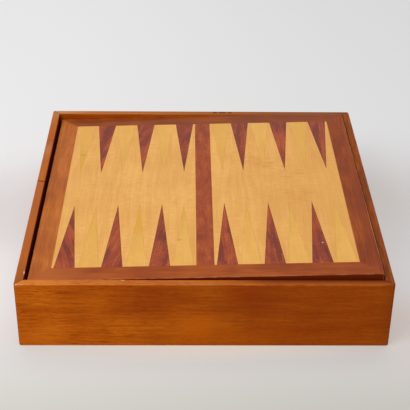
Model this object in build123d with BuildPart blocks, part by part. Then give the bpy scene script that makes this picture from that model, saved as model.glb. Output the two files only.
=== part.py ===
from build123d import *
import math
import os

# A games compendium box: a square, open wooden box and the loose two-sided games board that
# closes it, backgammon above and chess below, with the men, dice, cups, cards and dominoes
# that the box holds under the board.
#
# Millimetres. +X is the box's right, +Y its back and +Z up. The origin is on the table, under
# the middle of the box. The board lies askew in its recess: its back left corner is down on
# the ledge, and its right side rides on the two dice cups.

# ---- The box ----
box_width = 350.0  # outside, left to right
box_depth = 350.0  # outside, front to back
box_height = 71.0  # table to rim
wall = 8.0  # thickness of the four sides
corner_round = 2.5  # upright outside corners
rim_round = 1.0  # arrises of the rim
foot_round = 0.8  # lower outside arrises
panel_lift = 3.0  # table to the underside of the bottom panel
panel_thickness = 5.0
panel_tongue = 4.0  # how far the bottom panel reaches into each side
groove_slack = 0.1  # all round a tongue in its groove
liner = 6.0  # thickness of the boards whose tops are the ledge
ledge_drop = 17.2  # rim down to the ledge
baize = 1.0  # cloth on the bottom panel

# ---- The games board ----
board_play = 4.0  # how much smaller the board is than its recess
board_shift_x = 1.1  # the board lies this far right of the middle
board_shift_y = 1.4  # and this far back
board_thickness = 10.0
rail_width = 20.0  # the board's mitred frame, seen from above
rail_round = 0.8  # outside arrises of the frame
veneer = 0.6  # thickness of the playing surfaces
core_tongue = 5.0  # how far the core reaches into the frame
core_tongue_thickness = 3.0
seat_gap = 0.3  # between the board and what it lies on
bar_width = 17.0  # the backgammon bar
points_per_half = 6
point_margin = 1.0  # from the end of a half to its first point
point_gap = 2.4  # between the bases of neighbouring points
point_length = 112.0
squares_per_side = 8
chess_margin = 9.0  # from the frame to the first square
knife_line = 0.05  # glue line between neighbouring squares

# ---- The partitions ----
divider = 4.0  # thickness
divider_height = 31.0
bay_slack = 2.0  # how much longer a bay is than what lies in it
rest_gap = 0.1  # between a loose piece and what it lies on

# ---- Dice cups, dice and doubling cube ----
cup_above_ledge = 8.5  # how far a cup stands above the ledge, which is why the board lies askew
cup_length = 80.0
cup_wall = 3.0
cup_base = 4.0
cup_band = 9.0
cup_band_proud = 1.0
cup_lip_round = 1.0
cup_side_slack = 3.4  # each side of a cup in its bay
back_cup_shift = 5.0  # the back cup lies this far behind the middle of its bay
die_size = 14.0
die_round = 2.0
pip_radius = 1.5
pip_depth = 0.7
cube_size = 18.0
cube_round = 2.5
dice_columns = 3  # cells of the dice bay
dice_rows = 2

# ---- Backgammon stones, cards and dominoes ----
stones_per_side = 15
stone_diameter = 21.4
stone_thickness = 7.4
stone_round = 1.2
stone_ring = 15.0  # diameter of the turned ring
stone_ring_width = 1.2
stone_ring_depth = 0.5
card_length = 88.0
card_width = 57.0
card_corner = 3.0
deck_thickness = 16.0
decks = 2
domino_length = 40.0
domino_width = 20.0
domino_thickness = 7.0
domino_round = 0.8
domino_line = 0.8  # width of the line across its middle
domino_spots = 6  # the most on one end
domino_stacks = 7
domino_layers = 4
domino_wall = 4.0  # thickness of the domino box
domino_top = 5.0  # height of the domino box above the dominoes
lid_thickness = 3.0
lid_tongue = 2.0  # how far the lid reaches into each groove
lid_slack = 0.3  # all round the lid in its grooves
lid_thumb_length = 20.0  # the hollow for a thumb, across the lid
lid_thumb_width = 4.0
lid_thumb_depth = 1.0
lid_thumb_inset = 16.0  # from the lid's open end

# ---- Chessmen ----
king_height = 58.0
queen_height = 53.0
bishop_height = 47.0
knight_height = 43.0
rook_height = 38.0
pawn_height = 31.0
royal_base = 25.0  # diameter of the king's and the queen's base
minor_base = 22.0  # of the bishops', knights' and rooks' bases
pawn_base = 19.0
cross_height = 8.5
cross_span = 6.4
cross_thickness = 2.4
queen_dents = 8
knight_thickness = 11.0  # of the neck, at the foot
knight_ears = 6.0  # of the head, at the ears

# All men are turned to one pattern, in shares of the diameter of their base.
foot_share = 0.2  # height of the foot
step_share = 0.4  # radius of the foot's top
waist_share = 0.17  # radius of the narrowest place
collar_share = 0.29  # radius of the collar
bead_share = 0.05  # height of each half of the collar
neck_share = 0.18  # radius above the collar
collar_level_share = 0.62  # height of the collar, as a share of the man's height

os.makedirs("parts", exist_ok=True)


def keep(part, name):
    """Labels a finished piece and writes it to its own file."""
    part.label = name
    export_step(part, f"parts/{name}.step")


def mitred_side(side, width, depth, run):
    """Plan of one side of a mitred frame. Its long edge is outside, its short edge inside."""
    x, y = width / 2, depth / 2
    outer = [(-x, -y), (x, -y), (x, y), (-x, y)]
    inner = [(u - math.copysign(run, u), v - math.copysign(run, v)) for u, v in outer]
    first = sides.index(side)
    last = (first + 1) % len(sides)
    return [outer[first], outer[last], inner[last], inner[first]]


sides = ("front", "right", "back", "left")
inner_width = box_width - 2 * wall
inner_depth = box_depth - 2 * wall

# ---- Sides of the box: mitred at the corners, grooved for the bottom panel ----
for side in sides:
    with BuildPart() as box_side:
        with BuildSketch():
            RectangleRounded(box_width, box_depth, corner_round)
            Rectangle(inner_width, inner_depth, mode=Mode.SUBTRACT)
        extrude(amount=box_height)
        fillet(box_side.faces().sort_by(Axis.Z)[-1].edges(), rim_round)
        fillet(box_side.faces().sort_by(Axis.Z)[0].outer_wire().edges(), foot_round)
        with BuildSketch(Plane.XY.offset(panel_lift - groove_slack)):
            reach = 2 * (panel_tongue + groove_slack)
            Rectangle(inner_width + reach, inner_depth + reach)
        extrude(amount=panel_thickness + 2 * groove_slack, mode=Mode.SUBTRACT)
        with BuildSketch():
            Polygon(*mitred_side(side, box_width, box_depth, wall), align=None)
        extrude(amount=box_height, mode=Mode.INTERSECT)
    keep(box_side.part, f"box_side_{side}")

panel_top = panel_lift + panel_thickness
with BuildPart() as bottom_panel:
    with BuildSketch(Plane.XY.offset(panel_lift)):
        Rectangle(inner_width + 2 * panel_tongue, inner_depth + 2 * panel_tongue)
    extrude(amount=panel_thickness)
keep(bottom_panel.part, "bottom_panel")

# ---- Lining boards: they stand on the panel against the sides, and the board lies on them ----
ledge_top = box_height - ledge_drop
for side in sides:
    with BuildPart() as lining:
        with BuildSketch(Plane.XY.offset(panel_top)):
            Polygon(*mitred_side(side, inner_width, inner_depth, liner), align=None)
        extrude(amount=ledge_top - panel_top)
    keep(lining.part, f"lining_{side}")

# The floor that the bays share.
floor = panel_top + baize
bay_right = inner_width / 2 - liner
bay_back = inner_depth / 2 - liner
with BuildPart() as baize_lining:
    with BuildSketch(Plane.XY.offset(panel_top)):
        Rectangle(2 * bay_right, 2 * bay_back)
    extrude(amount=baize)
keep(baize_lining.part, "baize_lining")

# ---- Where the partitions stand ----
# A row along the front is as wide as a dice cup and the cards need, and a column along the
# right as wide as a cup needs. A strip along the back is as wide as the domino box needs. Two
# equal chess bays take the rest.
cup_diameter = ledge_top - floor - rest_gap + cup_above_ledge  # over its bands
cup_bay = cup_diameter + 2 * cup_side_slack
front_row = max(cup_bay, card_width + bay_slack)
front_row_back = -bay_back + front_row
right_column_left = bay_right - cup_bay
domino_box_width = domino_length + 2 * (rest_gap + domino_wall)
domino_box_length = domino_stacks * (domino_width + rest_gap) + 2 * domino_wall + rest_gap
back_strip_front = bay_back - domino_box_width - 2 * rest_gap
chess_front = front_row_back + divider
chess_back = back_strip_front - divider
chess_right = right_column_left - divider
chess_middle = (chess_front + chess_back) / 2
card_bay = card_length + bay_slack
stone_bay = stones_per_side * (stone_thickness + rest_gap) + bay_slack


def upright_board(name, *plans):
    """Partitions of one node. Each plan is its left, front, right and back."""
    with BuildPart() as partition:
        for left, front, right, back in plans:
            with BuildSketch(Plane.XY.offset(floor)):
                with Locations(((left + right) / 2, (front + back) / 2)):
                    Rectangle(right - left, back - front)
            extrude(amount=divider_height)
    keep(partition.part, name)


upright_board("divider_front_row", (-bay_right, front_row_back, bay_right, chess_front))
upright_board("divider_right_column", (chess_right, chess_front, right_column_left, bay_back))
upright_board("divider_back_strip", (-bay_right, chess_back, chess_right, back_strip_front))
upright_board(
    "divider_chess",
    (-bay_right, chess_middle - divider / 2, chess_right, chess_middle + divider / 2),
)
deck_divider_left = [-bay_right + n * (card_bay + divider) - divider for n in range(1, decks + 1)]
upright_board(
    "dividers_card_bays",
    *[(x, -bay_back, x + divider, front_row_back) for x in deck_divider_left],
)
stone_bay_back = chess_front + stone_bay
back_cup_bay_front = stone_bay_back + divider
upright_board("divider_cup_bay", (right_column_left, stone_bay_back, bay_right, back_cup_bay_front))
column_middle = (right_column_left + bay_right) / 2
upright_board(
    "divider_stones",
    (column_middle - divider / 2, chess_front, column_middle + divider / 2, stone_bay_back),
)
domino_bay_right = -bay_right + domino_box_length + bay_slack
upright_board(
    "divider_dominoes",
    (domino_bay_right, back_strip_front, domino_bay_right + divider, bay_back),
)

# ---- Dice cups on their sides, mouths to the right and to the front ----
cup_radius = cup_diameter / 2
cup_rest = floor + rest_gap + cup_radius
row_middle = -bay_back + front_row / 2
front_cup_bay_left = deck_divider_left[-1] + divider
front_cup_left = (front_cup_bay_left + bay_right - cup_length) / 2
back_cup_back = (back_cup_bay_front + bay_back + cup_length) / 2 + back_cup_shift
cup_planes = {
    "front": Plane((front_cup_left, row_middle, cup_rest), x_dir=(0, 1, 0), z_dir=(1, 0, 0)),
    "back": Plane((column_middle, back_cup_back, cup_rest), x_dir=(1, 0, 0), z_dir=(0, -1, 0)),
}
for place, foot in cup_planes.items():
    with BuildPart() as dice_cup:
        with BuildSketch(foot):
            Circle(cup_radius - cup_band_proud)
        extrude(amount=cup_length)
        with BuildSketch(foot, foot.offset(cup_length - cup_band)):
            Circle(cup_radius)
        extrude(amount=cup_band)
        with BuildSketch(foot.offset(cup_base)):
            Circle(cup_radius - cup_band_proud - cup_wall)
        extrude(amount=cup_length, mode=Mode.SUBTRACT)
        mouth = dice_cup.faces().sort_by(Axis(foot.origin, foot.z_dir))[-1]
        fillet(mouth.edges(), cup_lip_round)
    keep(dice_cup.part, f"dice_cup_{place}")

# ---- How the games board lies: on the ledge's back left corner and on the two cups ----
# The underside is the plane through the three places that carry it.
board_width = inner_width - board_play
board_depth = inner_depth - board_play
cup_crown = cup_rest + cup_radius + seat_gap
ledge_seat = Vector(
    board_shift_x - board_width / 2,
    board_shift_y + board_depth / 2,
    ledge_top + seat_gap,
)
front_seat = Vector(front_cup_left, row_middle, cup_crown)
back_seat = Vector(column_middle, back_cup_back, cup_crown)
board_up = (front_seat - ledge_seat).cross(back_seat - ledge_seat).normalized()
rise_x = -board_up.X / board_up.Z
rise_y = -board_up.Y / board_up.Z
underside_middle = Vector(
    board_shift_x,
    board_shift_y,
    ledge_seat.Z + rise_x * board_width / 2 - rise_y * board_depth / 2,
)
board_top = Plane(
    underside_middle + board_up * board_thickness, x_dir=(1, 0, rise_x), z_dir=board_up
)
board_axis = Axis(board_top.origin, board_up)
board_bottom = board_top.offset(-board_thickness)
field_width = board_width - 2 * rail_width
field_depth = board_depth - 2 * rail_width
square_size = (min(field_width, field_depth) - 2 * chess_margin) / squares_per_side

# ---- Frame and core of the board ----
for side in sides:
    with BuildPart() as board_rail:
        with BuildSketch(board_bottom):
            Rectangle(board_width, board_depth)
            Rectangle(field_width, field_depth, mode=Mode.SUBTRACT)
        extrude(amount=board_thickness)
        faces = board_rail.faces().sort_by(board_axis)
        fillet(faces[-1].outer_wire().edges() + faces[0].outer_wire().edges(), rail_round)
        groove = core_tongue_thickness + 2 * groove_slack
        with BuildSketch(board_bottom.offset((board_thickness - groove) / 2)):
            reach = 2 * (core_tongue + groove_slack)
            Rectangle(field_width + reach, field_depth + reach)
        extrude(amount=groove, mode=Mode.SUBTRACT)
        with BuildSketch(board_bottom):
            Polygon(*mitred_side(side, board_width, board_depth, rail_width), align=None)
        extrude(amount=board_thickness, mode=Mode.INTERSECT)
    keep(board_rail.part, f"board_rail_{side}")

with BuildPart() as board_core:
    with BuildSketch(board_bottom.offset(veneer)):
        Rectangle(field_width, field_depth)
    extrude(amount=board_thickness - 2 * veneer)
    with BuildSketch(board_bottom.offset((board_thickness - core_tongue_thickness) / 2)):
        Rectangle(field_width + 2 * core_tongue, field_depth + 2 * core_tongue)
    extrude(amount=core_tongue_thickness)
keep(board_core.part, "board_core")

# ---- Backgammon side ----
half_width = (field_width - bar_width) / 2
point_pitch = (half_width - 2 * point_margin) / points_per_half
point_base = point_pitch - point_gap
half_middles = [part * (bar_width + half_width) / 2 for part in (-1, 1)]


def point_outlines(first_front):
    """The triangles of one wood. In the front row of each half they start at first_front."""
    outlines = []
    for middle in half_middles:
        for row, first in ((-1, first_front), (1, 1 - first_front)):
            for n in range(first, points_per_half, 2):
                x = middle + (n - (points_per_half - 1) / 2) * point_pitch
                base = row * field_depth / 2
                tip = base - row * point_length
                outlines.append([(x - point_base / 2, base), (x + point_base / 2, base), (x, tip)])
    return outlines


veneer_plane = board_top.offset(-veneer)
dark_outlines = point_outlines(0)
light_outlines = point_outlines(1)
for name, outlines in (("dark_points", dark_outlines), ("light_points", light_outlines)):
    with BuildPart() as points:
        with BuildSketch(veneer_plane):
            for outline in outlines:
                Polygon(*outline, align=None)
        extrude(amount=veneer)
    keep(points.part, name)

for name, middle in zip(("field_left", "field_right"), half_middles):
    with BuildPart() as field:
        with BuildSketch(veneer_plane):
            with Locations((middle, 0)):
                Rectangle(half_width, field_depth)
            for outline in dark_outlines + light_outlines:
                Polygon(*outline, align=None, mode=Mode.SUBTRACT)
        extrude(amount=veneer)
    keep(field.part, name)

with BuildPart() as centre_bar:
    with BuildSketch(veneer_plane):
        Rectangle(bar_width, field_depth)
    extrude(amount=veneer)
keep(centre_bar.part, "centre_bar")

# ---- Chess side ----
square_middles = [
    (
        (column - (squares_per_side - 1) / 2) * square_size,
        (row - (squares_per_side - 1) / 2) * square_size,
        (column + row) % 2,
    )
    for column in range(squares_per_side)
    for row in range(squares_per_side)
]
for name, wood in (("chess_light_squares", 0), ("chess_dark_squares", 1)):
    with BuildPart() as squares:
        with BuildSketch(board_bottom):
            with Locations(*[(x, y) for x, y, kind in square_middles if kind == wood]):
                Rectangle(square_size - knife_line, square_size - knife_line)
        extrude(amount=veneer)
    keep(squares.part, name)

with BuildPart() as chess_border:
    with BuildSketch(board_bottom):
        Rectangle(field_width, field_depth)
        chequers = squares_per_side * square_size + knife_line
        Rectangle(chequers, chequers, mode=Mode.SUBTRACT)
    extrude(amount=veneer)
keep(chess_border.part, "chess_border")


# ---- Dice and doubling cube ----
def pip_spots(count, pitch):
    """Where the pips of one face lie, about its middle."""
    spots = [(0, 0)] if count % 2 else []
    if count > 1:
        spots += [(-pitch, -pitch), (pitch, pitch)]
    if count > 3:
        spots += [(-pitch, pitch), (pitch, -pitch)]
    if count > 5:
        spots += [(-pitch, 0), (pitch, 0)]
    return spots


die_faces = {
    1: Plane.XY,
    6: Plane.XY.rotated((180, 0, 0)),
    2: Plane.XY.rotated((90, 0, 0)),
    5: Plane.XY.rotated((-90, 0, 0)),
    3: Plane.XY.rotated((0, 90, 0)),
    4: Plane.XY.rotated((0, -90, 0)),
}
pip_lift = pip_radius - pip_depth
with BuildPart() as die:
    Box(die_size, die_size, die_size)
    fillet(die.edges(), die_round)
    for count, face in die_faces.items():
        with Locations(face.offset(die_size / 2 + pip_lift)):
            with Locations(*pip_spots(count, die_size / 4)):
                Sphere(pip_radius, mode=Mode.SUBTRACT)

# The dice bay lies beside the domino box. It is two rows of three cells: the dice take four of
# them, and the doubling cube one.
dice_bay_left = domino_bay_right + divider
dice_cell_width = (chess_right - dice_bay_left) / dice_columns
dice_cell_depth = (bay_back - back_strip_front) / dice_rows


def dice_cell(column, row, size):
    """Where the middle of a cube of this size is, in a cell counted from the front left."""
    x = dice_bay_left + (column + 0.5) * dice_cell_width
    y = back_strip_front + (row + 0.5) * dice_cell_depth
    return x, y, floor + rest_gap + size / 2


# Each die: its column and row, and how it is rolled about X, Y and then Z.
dice_rolls = {
    "dice_light": [(0, 0, (0, 0, 8)), (1, 0, (90, 0, -10))],
    "dice_dark": [(0, 1, (0, 90, 11)), (1, 1, (180, 0, -6))],
}
for name, rolls in dice_rolls.items():
    with BuildPart() as dice:
        for column, row, roll in rolls:
            spot = dice_cell(column, row, die_size)
            with Locations(Location(spot) * Location((0, 0, 0), (0, 0, roll[2]))):
                add(die.part, rotation=(roll[0], roll[1], 0))
    keep(dice.part, name)

with BuildPart() as doubling_cube:
    with Locations(dice_cell(2, 0, cube_size)):
        Box(cube_size, cube_size, cube_size)
    fillet(doubling_cube.edges(), cube_round)
keep(doubling_cube.part, "doubling_cube")

# ---- Backgammon stones: two rows on edge beside the middle partition ----
with BuildPart() as stone:
    with BuildSketch(Plane.XZ):
        Circle(stone_diameter / 2)
    extrude(amount=stone_thickness / 2, both=True)
    fillet(stone.edges(), stone_round)
    for face in (stone.faces().sort_by(Axis.Y)[0], stone.faces().sort_by(Axis.Y)[-1]):
        with BuildSketch(face):
            Circle(stone_ring / 2)
            Circle(stone_ring / 2 - stone_ring_width, mode=Mode.SUBTRACT)
        extrude(amount=-stone_ring_depth, mode=Mode.SUBTRACT)

trough = (cup_bay - divider) / 2
for name, way in (("stones_light", -1), ("stones_dark", 1)):
    with BuildPart() as stones:
        x = column_middle + way * (divider + trough) / 2
        pitch = stone_thickness + rest_gap
        first = chess_front + bay_slack / 2 + pitch / 2
        z = floor + rest_gap + stone_diameter / 2
        with Locations(*[(x, first + n * pitch, z) for n in range(stones_per_side)]):
            add(stone.part)
    keep(stones.part, name)

# ---- Card decks ----
with BuildPart() as card_decks:
    for n in range(decks):
        with BuildSketch(Plane.XY.offset(floor)):
            with Locations((-bay_right + card_bay / 2 + n * (card_bay + divider), row_middle)):
                RectangleRounded(card_length, card_width, card_corner)
        extrude(amount=deck_thickness)
keep(card_decks.part, "card_decks")

# ---- Domino box with its sliding lid ----
domino_box_left = -bay_right + bay_slack / 2
domino_box_middle = (
    domino_box_left + domino_box_length / 2,
    bay_back - rest_gap - domino_box_width / 2,
)
domino_floor = floor + domino_wall
domino_crown = domino_floor + domino_layers * (domino_thickness + rest_gap)
domino_box_top = domino_crown + domino_top
cavity_length = domino_box_length - 2 * domino_wall
cavity_width = domino_box_width - 2 * domino_wall
lid_low = domino_crown + lid_slack
lid_left = domino_box_left + domino_wall - lid_tongue
lid_length = domino_box_left + domino_box_length - lid_left
lid_middle = (lid_left + lid_length / 2, domino_box_middle[1])
with BuildPart() as domino_box:
    with BuildSketch(Plane.XY.offset(floor)):
        with Locations(domino_box_middle):
            Rectangle(domino_box_length, domino_box_width)
    extrude(amount=domino_box_top - floor)
    with BuildSketch(Plane.XY.offset(domino_floor)):
        with Locations(domino_box_middle):
            Rectangle(cavity_length, cavity_width)
    extrude(amount=domino_box_top - domino_floor, mode=Mode.SUBTRACT)
    with BuildSketch(Plane.XY.offset(lid_low - lid_slack)):
        slot_length = lid_length + lid_slack
        with Locations((lid_left - lid_slack + slot_length / 2, domino_box_middle[1])):
            Rectangle(slot_length, cavity_width + 2 * (lid_tongue + lid_slack))
    extrude(amount=lid_thickness + 2 * lid_slack, mode=Mode.SUBTRACT)
    with BuildSketch(Plane.XY.offset(lid_low - lid_slack)):
        with Locations((lid_left + lid_length - domino_wall / 2, domino_box_middle[1])):
            Rectangle(domino_wall, cavity_width)
    extrude(amount=domino_box_top - lid_low + lid_slack, mode=Mode.SUBTRACT)
keep(domino_box.part, "domino_box")

with BuildPart() as domino_lid:
    with BuildSketch(Plane.XY.offset(lid_low)):
        with Locations(lid_middle):
            Rectangle(lid_length, cavity_width + 2 * lid_tongue)
    extrude(amount=lid_thickness)
    thumb = Plane(
        (lid_left + lid_length - lid_thumb_inset, lid_middle[1], lid_low + lid_thickness),
        x_dir=(0, 1, 0),
        z_dir=(0, 0, 1),
    )
    with BuildSketch(thumb):
        SlotOverall(lid_thumb_length, lid_thumb_width)
    extrude(amount=-lid_thumb_depth, mode=Mode.SUBTRACT)
keep(domino_lid.part, "domino_lid")

# The double-six set, laid in stacks. pairs holds the spots on each tile's two ends.
pairs = [(high, low) for high in range(domino_spots + 1) for low in range(high + 1)]
with BuildPart() as dominoes:
    tiles = []
    spots = []
    grooves = []
    for index, pair in enumerate(pairs):
        stack = index % domino_stacks
        layer = index // domino_stacks
        x = domino_box_middle[0] + (stack - (domino_stacks - 1) / 2) * (domino_width + rest_gap)
        z = domino_floor + rest_gap + layer * (domino_thickness + rest_gap)
        tiles.append((x, domino_box_middle[1], z + domino_thickness / 2))
        grooves.append((x, domino_box_middle[1], z + domino_thickness))
        for end, count in zip((-1, 1), pair):
            for across, along in pip_spots(count, domino_width / 4):
                y = domino_box_middle[1] + end * domino_length / 4 + along
                spots.append((x + across, y, z + domino_thickness + pip_lift))
    with Locations(*tiles):
        Box(domino_width, domino_length, domino_thickness)
    fillet(dominoes.edges().filter_by(Axis.Z), domino_round)
    with Locations(*grooves):
        Box(domino_width, domino_line, domino_line, mode=Mode.SUBTRACT)
    with Locations(*spots):
        Sphere(pip_radius, mode=Mode.SUBTRACT)
keep(dominoes.part, "dominoes")


# ---- Chessmen: turned upright about Z, and laid down in their bays ----
def ball_radius(neck, height):
    """The ball that stands on a neck and reaches a height."""
    rise = height - neck[1]
    return (rise**2 + neck[0] ** 2) / (2 * rise)


def neck_of(height, base):
    """Where the head of a turned man starts: its radius and its height."""
    return base * neck_share, height * collar_level_share + base * bead_share


def turned_foot(base, top):
    """The outline from the axis over the foot, and in a curve up to top."""
    step = (base * step_share, base * foot_share)
    Polyline((0, 0), (base / 2, 0), (base / 2, step[1]), step)
    Spline(step, top, tangents=((-0.5, 1), (0, 1)))


def crown_arc(rim, height):
    """An arc about a middle on the axis, from rim up to the axis at height."""
    radius = ball_radius(rim, height)
    turn = math.atan2(rim[0], rim[1] - height + radius)
    halfway = (radius * math.sin(turn / 2), height - radius + radius * math.cos(turn / 2))
    ThreePointArc(rim, halfway, (0, height))


def pawn_head(neck, widest, height, base):
    """A ball on the neck."""
    crown_arc(neck, height)


def bishop_head(neck, widest, height, base):
    """A pointed egg with a small ball on top."""
    ball = base * 0.07
    tip = (ball * 0.7, height - ball * 1.7)
    Spline(neck, widest, tip, tangents=((1, 1), (-0.6, 1)))
    crown_arc(tip, height)


def queen_head(neck, widest, height, base):
    """A flared crown, bevelled above its rim, with a small ball on top."""
    ball = base * 0.09
    bevel = (base * 0.26, widest[1] + base * 0.06)
    tip = (ball * 0.7, height - ball * 1.7)
    Spline(neck, widest, tangents=((0, 1), (0.5, 1)))
    Polyline(widest, bevel, tip)
    crown_arc(tip, height)


def king_head(neck, widest, height, base):
    """A flared crown, closed by a low dome that carries the cross."""
    Spline(neck, widest, tangents=((0, 1), (0.4, 1)))
    crown_arc(widest, height)


def rook_head(neck, widest, height, base):
    """A drum, hollowed at the top."""
    low = (widest[0], neck[1] + (height - neck[1]) * 0.35)
    lip = widest[0] * 0.62
    hollow = height - base * 0.12
    Polyline(neck, low, widest, (lip, height), (lip, hollow), (0, hollow))
    Line((0, hollow), (0, height))


def turned_man(height, base, widest, head):
    """A turned man. head draws his outline from the neck up to the axis."""
    with BuildPart() as man:
        with BuildSketch(Plane.XZ):
            with BuildLine():
                neck = neck_of(height, base)
                collar_top = height * collar_level_share
                collar_foot = collar_top - 2 * base * bead_share
                turned_foot(base, (base * waist_share, collar_foot))
                Polyline(
                    (base * waist_share, collar_foot),
                    (base * collar_share, collar_top - base * bead_share),
                    (base * collar_share, collar_top),
                    neck,
                )
                head(neck, widest, height, base)
                Line((0, height), (0, 0))
            make_face()
        revolve(axis=Axis.Z)
    return man.part


# The widest place of each head: its radius and its height. The man lies on it.
king_shoulder = king_height - cross_height
king_widest = (royal_base * 0.3, king_shoulder - royal_base * 0.16)
queen_widest = (royal_base * 0.32, queen_height - royal_base * 0.3)
bishop_widest = (minor_base * 0.28, bishop_height * 0.75)
rook_widest = (minor_base * 0.36, rook_height)
pawn_ball = ball_radius(neck_of(pawn_height, pawn_base), pawn_height)
pawn_widest = (pawn_ball, pawn_height - pawn_ball)

king_body = turned_man(king_shoulder, royal_base, king_widest, king_head)
with BuildPart() as king:
    add(king_body)
    with BuildSketch(Plane.XZ.offset(-cross_thickness / 2)):
        with Locations((0, king_height - cross_height / 2 - cross_thickness / 4)):
            Rectangle(cross_thickness, cross_height + cross_thickness / 2)
        with Locations((0, king_height - cross_height * 0.42)):
            Rectangle(cross_span, cross_thickness)
    extrude(amount=cross_thickness)

queen_body = turned_man(queen_height, royal_base, queen_widest, queen_head)
with BuildPart() as queen:
    add(queen_body)
    with Locations((0, 0, queen_widest[1] + royal_base * 0.06)):
        with PolarLocations(queen_widest[0], queen_dents):
            Sphere(royal_base * 0.045, mode=Mode.SUBTRACT)

bishop_body = turned_man(bishop_height, minor_base, bishop_widest, bishop_head)
with BuildPart() as bishop:
    add(bishop_body)
    cut = Plane((minor_base * 0.2, 0, bishop_height * 0.86), x_dir=(0, 1, 0), z_dir=(-0.6, 0, 1))
    with BuildSketch(cut):
        Rectangle(minor_base, minor_base * 0.32)
    extrude(amount=minor_base * 0.05, mode=Mode.SUBTRACT)

rook_body = turned_man(rook_height, minor_base, rook_widest, rook_head)
with BuildPart() as rook:
    add(rook_body)
    for turn in (0, 60, 120):
        with BuildSketch(Plane.XY.offset(rook_height - minor_base * 0.1)):
            Rectangle(minor_base, minor_base * 0.12, rotation=turn)
        extrude(amount=minor_base * 0.1, mode=Mode.SUBTRACT)

pawn_body = turned_man(pawn_height, pawn_base, pawn_widest, pawn_head)

# The knight's head is a horse's neck and head in outline, facing +X, that thins towards the ears.
knight_neck = minor_base * 0.42
knight_neck_radius = minor_base * 0.36
head_rise = knight_height - knight_neck


def on_head(across, up):
    """A point of the knight's outline, in shares of his base and of his head's height."""
    return minor_base * across, knight_neck + head_rise * up


with BuildPart() as knight_head:
    with BuildSketch(Plane.XZ):
        with BuildLine():
            nape = on_head(-0.34, 0)
            poll = on_head(-0.1, 0.94)
            jaw = on_head(0.1, 0.5)
            chest = on_head(0.33, 0)
            Spline(nape, on_head(-0.4, 0.42), on_head(-0.3, 0.78), poll)
            Polyline(
                poll,
                on_head(-0.02, 1),  # ear
                on_head(0.06, 0.9),
                on_head(0.14, 0.86),  # brow
                on_head(0.45, 0.62),  # nose
                on_head(0.47, 0.53),
                on_head(0.42, 0.47),  # mouth
                on_head(0.3, 0.45),
                jaw,
            )
            Spline(jaw, chest, tangents=((-0.3, -1), (0.1, -1)))
            Line(chest, nape)
        make_face()
    extrude(amount=minor_base / 2, both=True)
    with BuildSketch(Plane.YZ):
        Polygon(
            (-knight_thickness / 2, knight_neck),
            (knight_thickness / 2, knight_neck),
            (knight_ears / 2, knight_height),
            (-knight_ears / 2, knight_height),
            align=None,
        )
    extrude(amount=minor_base, both=True, mode=Mode.INTERSECT)

with BuildPart() as knight:
    with BuildSketch(Plane.XZ):
        with BuildLine():
            turned_foot(minor_base, (knight_neck_radius, knight_neck))
            Polyline((knight_neck_radius, knight_neck), (0, knight_neck), (0, 0))
        make_face()
    revolve(axis=Axis.Z)
    add(knight_head.part)


def lean_of(base, widest):
    """How far a man who lies down leans: his foot's upper edge and his head's widest place touch."""
    return math.atan((base / 2 - widest[0]) / (widest[1] - base * foot_share))


def lying(x, y, way, base, widest):
    """Where a man lies whose foot begins at x, y and whose head is towards way."""
    lean = lean_of(base, widest)
    tuck = base / 2 * math.sin(lean)
    z = floor + rest_gap + base / 2 * math.cos(lean) + base * foot_share * math.sin(lean)
    aim = (way[0] * math.cos(lean), way[1] * math.cos(lean), -math.sin(lean))
    return Plane((x + way[0] * tuck, y + way[1] * tuck, z), x_dir=(way[1], -way[0], 0), z_dir=aim)


# Each man: who he is, the diameter of his base, and where his head is widest.
men = {
    "king": (king.part, royal_base, king_widest),
    "queen": (queen.part, royal_base, queen_widest),
    "bishop": (bishop.part, minor_base, bishop_widest),
    "knight": (knight.part, minor_base, (knight_ears / 2, knight_height)),
    "rook": (rook.part, minor_base, rook_widest),
    "pawn": (pawn_body, pawn_base, pawn_widest),
}
first_rank = ("rook", "knight", "bishop", "queen", "king", "bishop", "knight", "rook")
file_width = (chess_right + bay_right) / len(first_rank)
files = [-bay_right + (n + 0.5) * file_width for n in range(len(first_rank))]
chess_bays = {
    "light": (chess_middle + divider / 2, chess_back),
    "dark": (chess_front, chess_middle - divider / 2),
}
to_front = (0, -1)
to_back = (0, 1)
to_left = (-1, 0)
to_right = (1, 0)
pawn_lean = lean_of(pawn_base, pawn_widest)
pawn_tuck = pawn_base / 2 * math.sin(pawn_lean)
pawn_reach = pawn_tuck + pawn_widest[1] * math.cos(pawn_lean) + pawn_ball + rest_gap / 2
for wood, (bay_front, bay_rear) in chess_bays.items():
    # The first rank lies along the rear of the bay, and the pawns along its front. The queen's
    # and the king's pawns lie across, head to head, because those two men are the longest.
    places = {kind: [] for kind in men}
    for n, kind in enumerate(first_rank):
        places[kind].append((files[n], bay_rear - bay_slack / 2, to_front))
        pawn_front = bay_front + bay_slack / 2
        if kind == "queen":
            x = files[n] + file_width / 2 - pawn_reach
            places["pawn"].append((x, pawn_front + pawn_base / 2, to_right))
        elif kind == "king":
            x = files[n] - file_width / 2 + pawn_reach
            places["pawn"].append((x, pawn_front + pawn_base / 2, to_left))
        else:
            places["pawn"].append((files[n], pawn_front, to_back))
    for kind, (template, base, widest) in men.items():
        with BuildPart() as group:
            with Locations(*[lying(x, y, way, base, widest) for x, y, way in places[kind]]):
                add(template)
        keep(group.part, f"{kind}_{wood}" if len(places[kind]) == 1 else f"{kind}s_{wood}")

print("board rises", round(rise_x, 5), "to the right and", round(rise_y, 5), "to the back")
print("board middle", [round(c, 2) for c in board_top.origin])
print("domino lid end", round(lid_left + lid_length, 2), "cup side", round(column_middle - cup_radius, 2))
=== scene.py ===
import itertools
import math
import random

import bmesh
import bpy
from mathutils import Matrix, Vector


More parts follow.
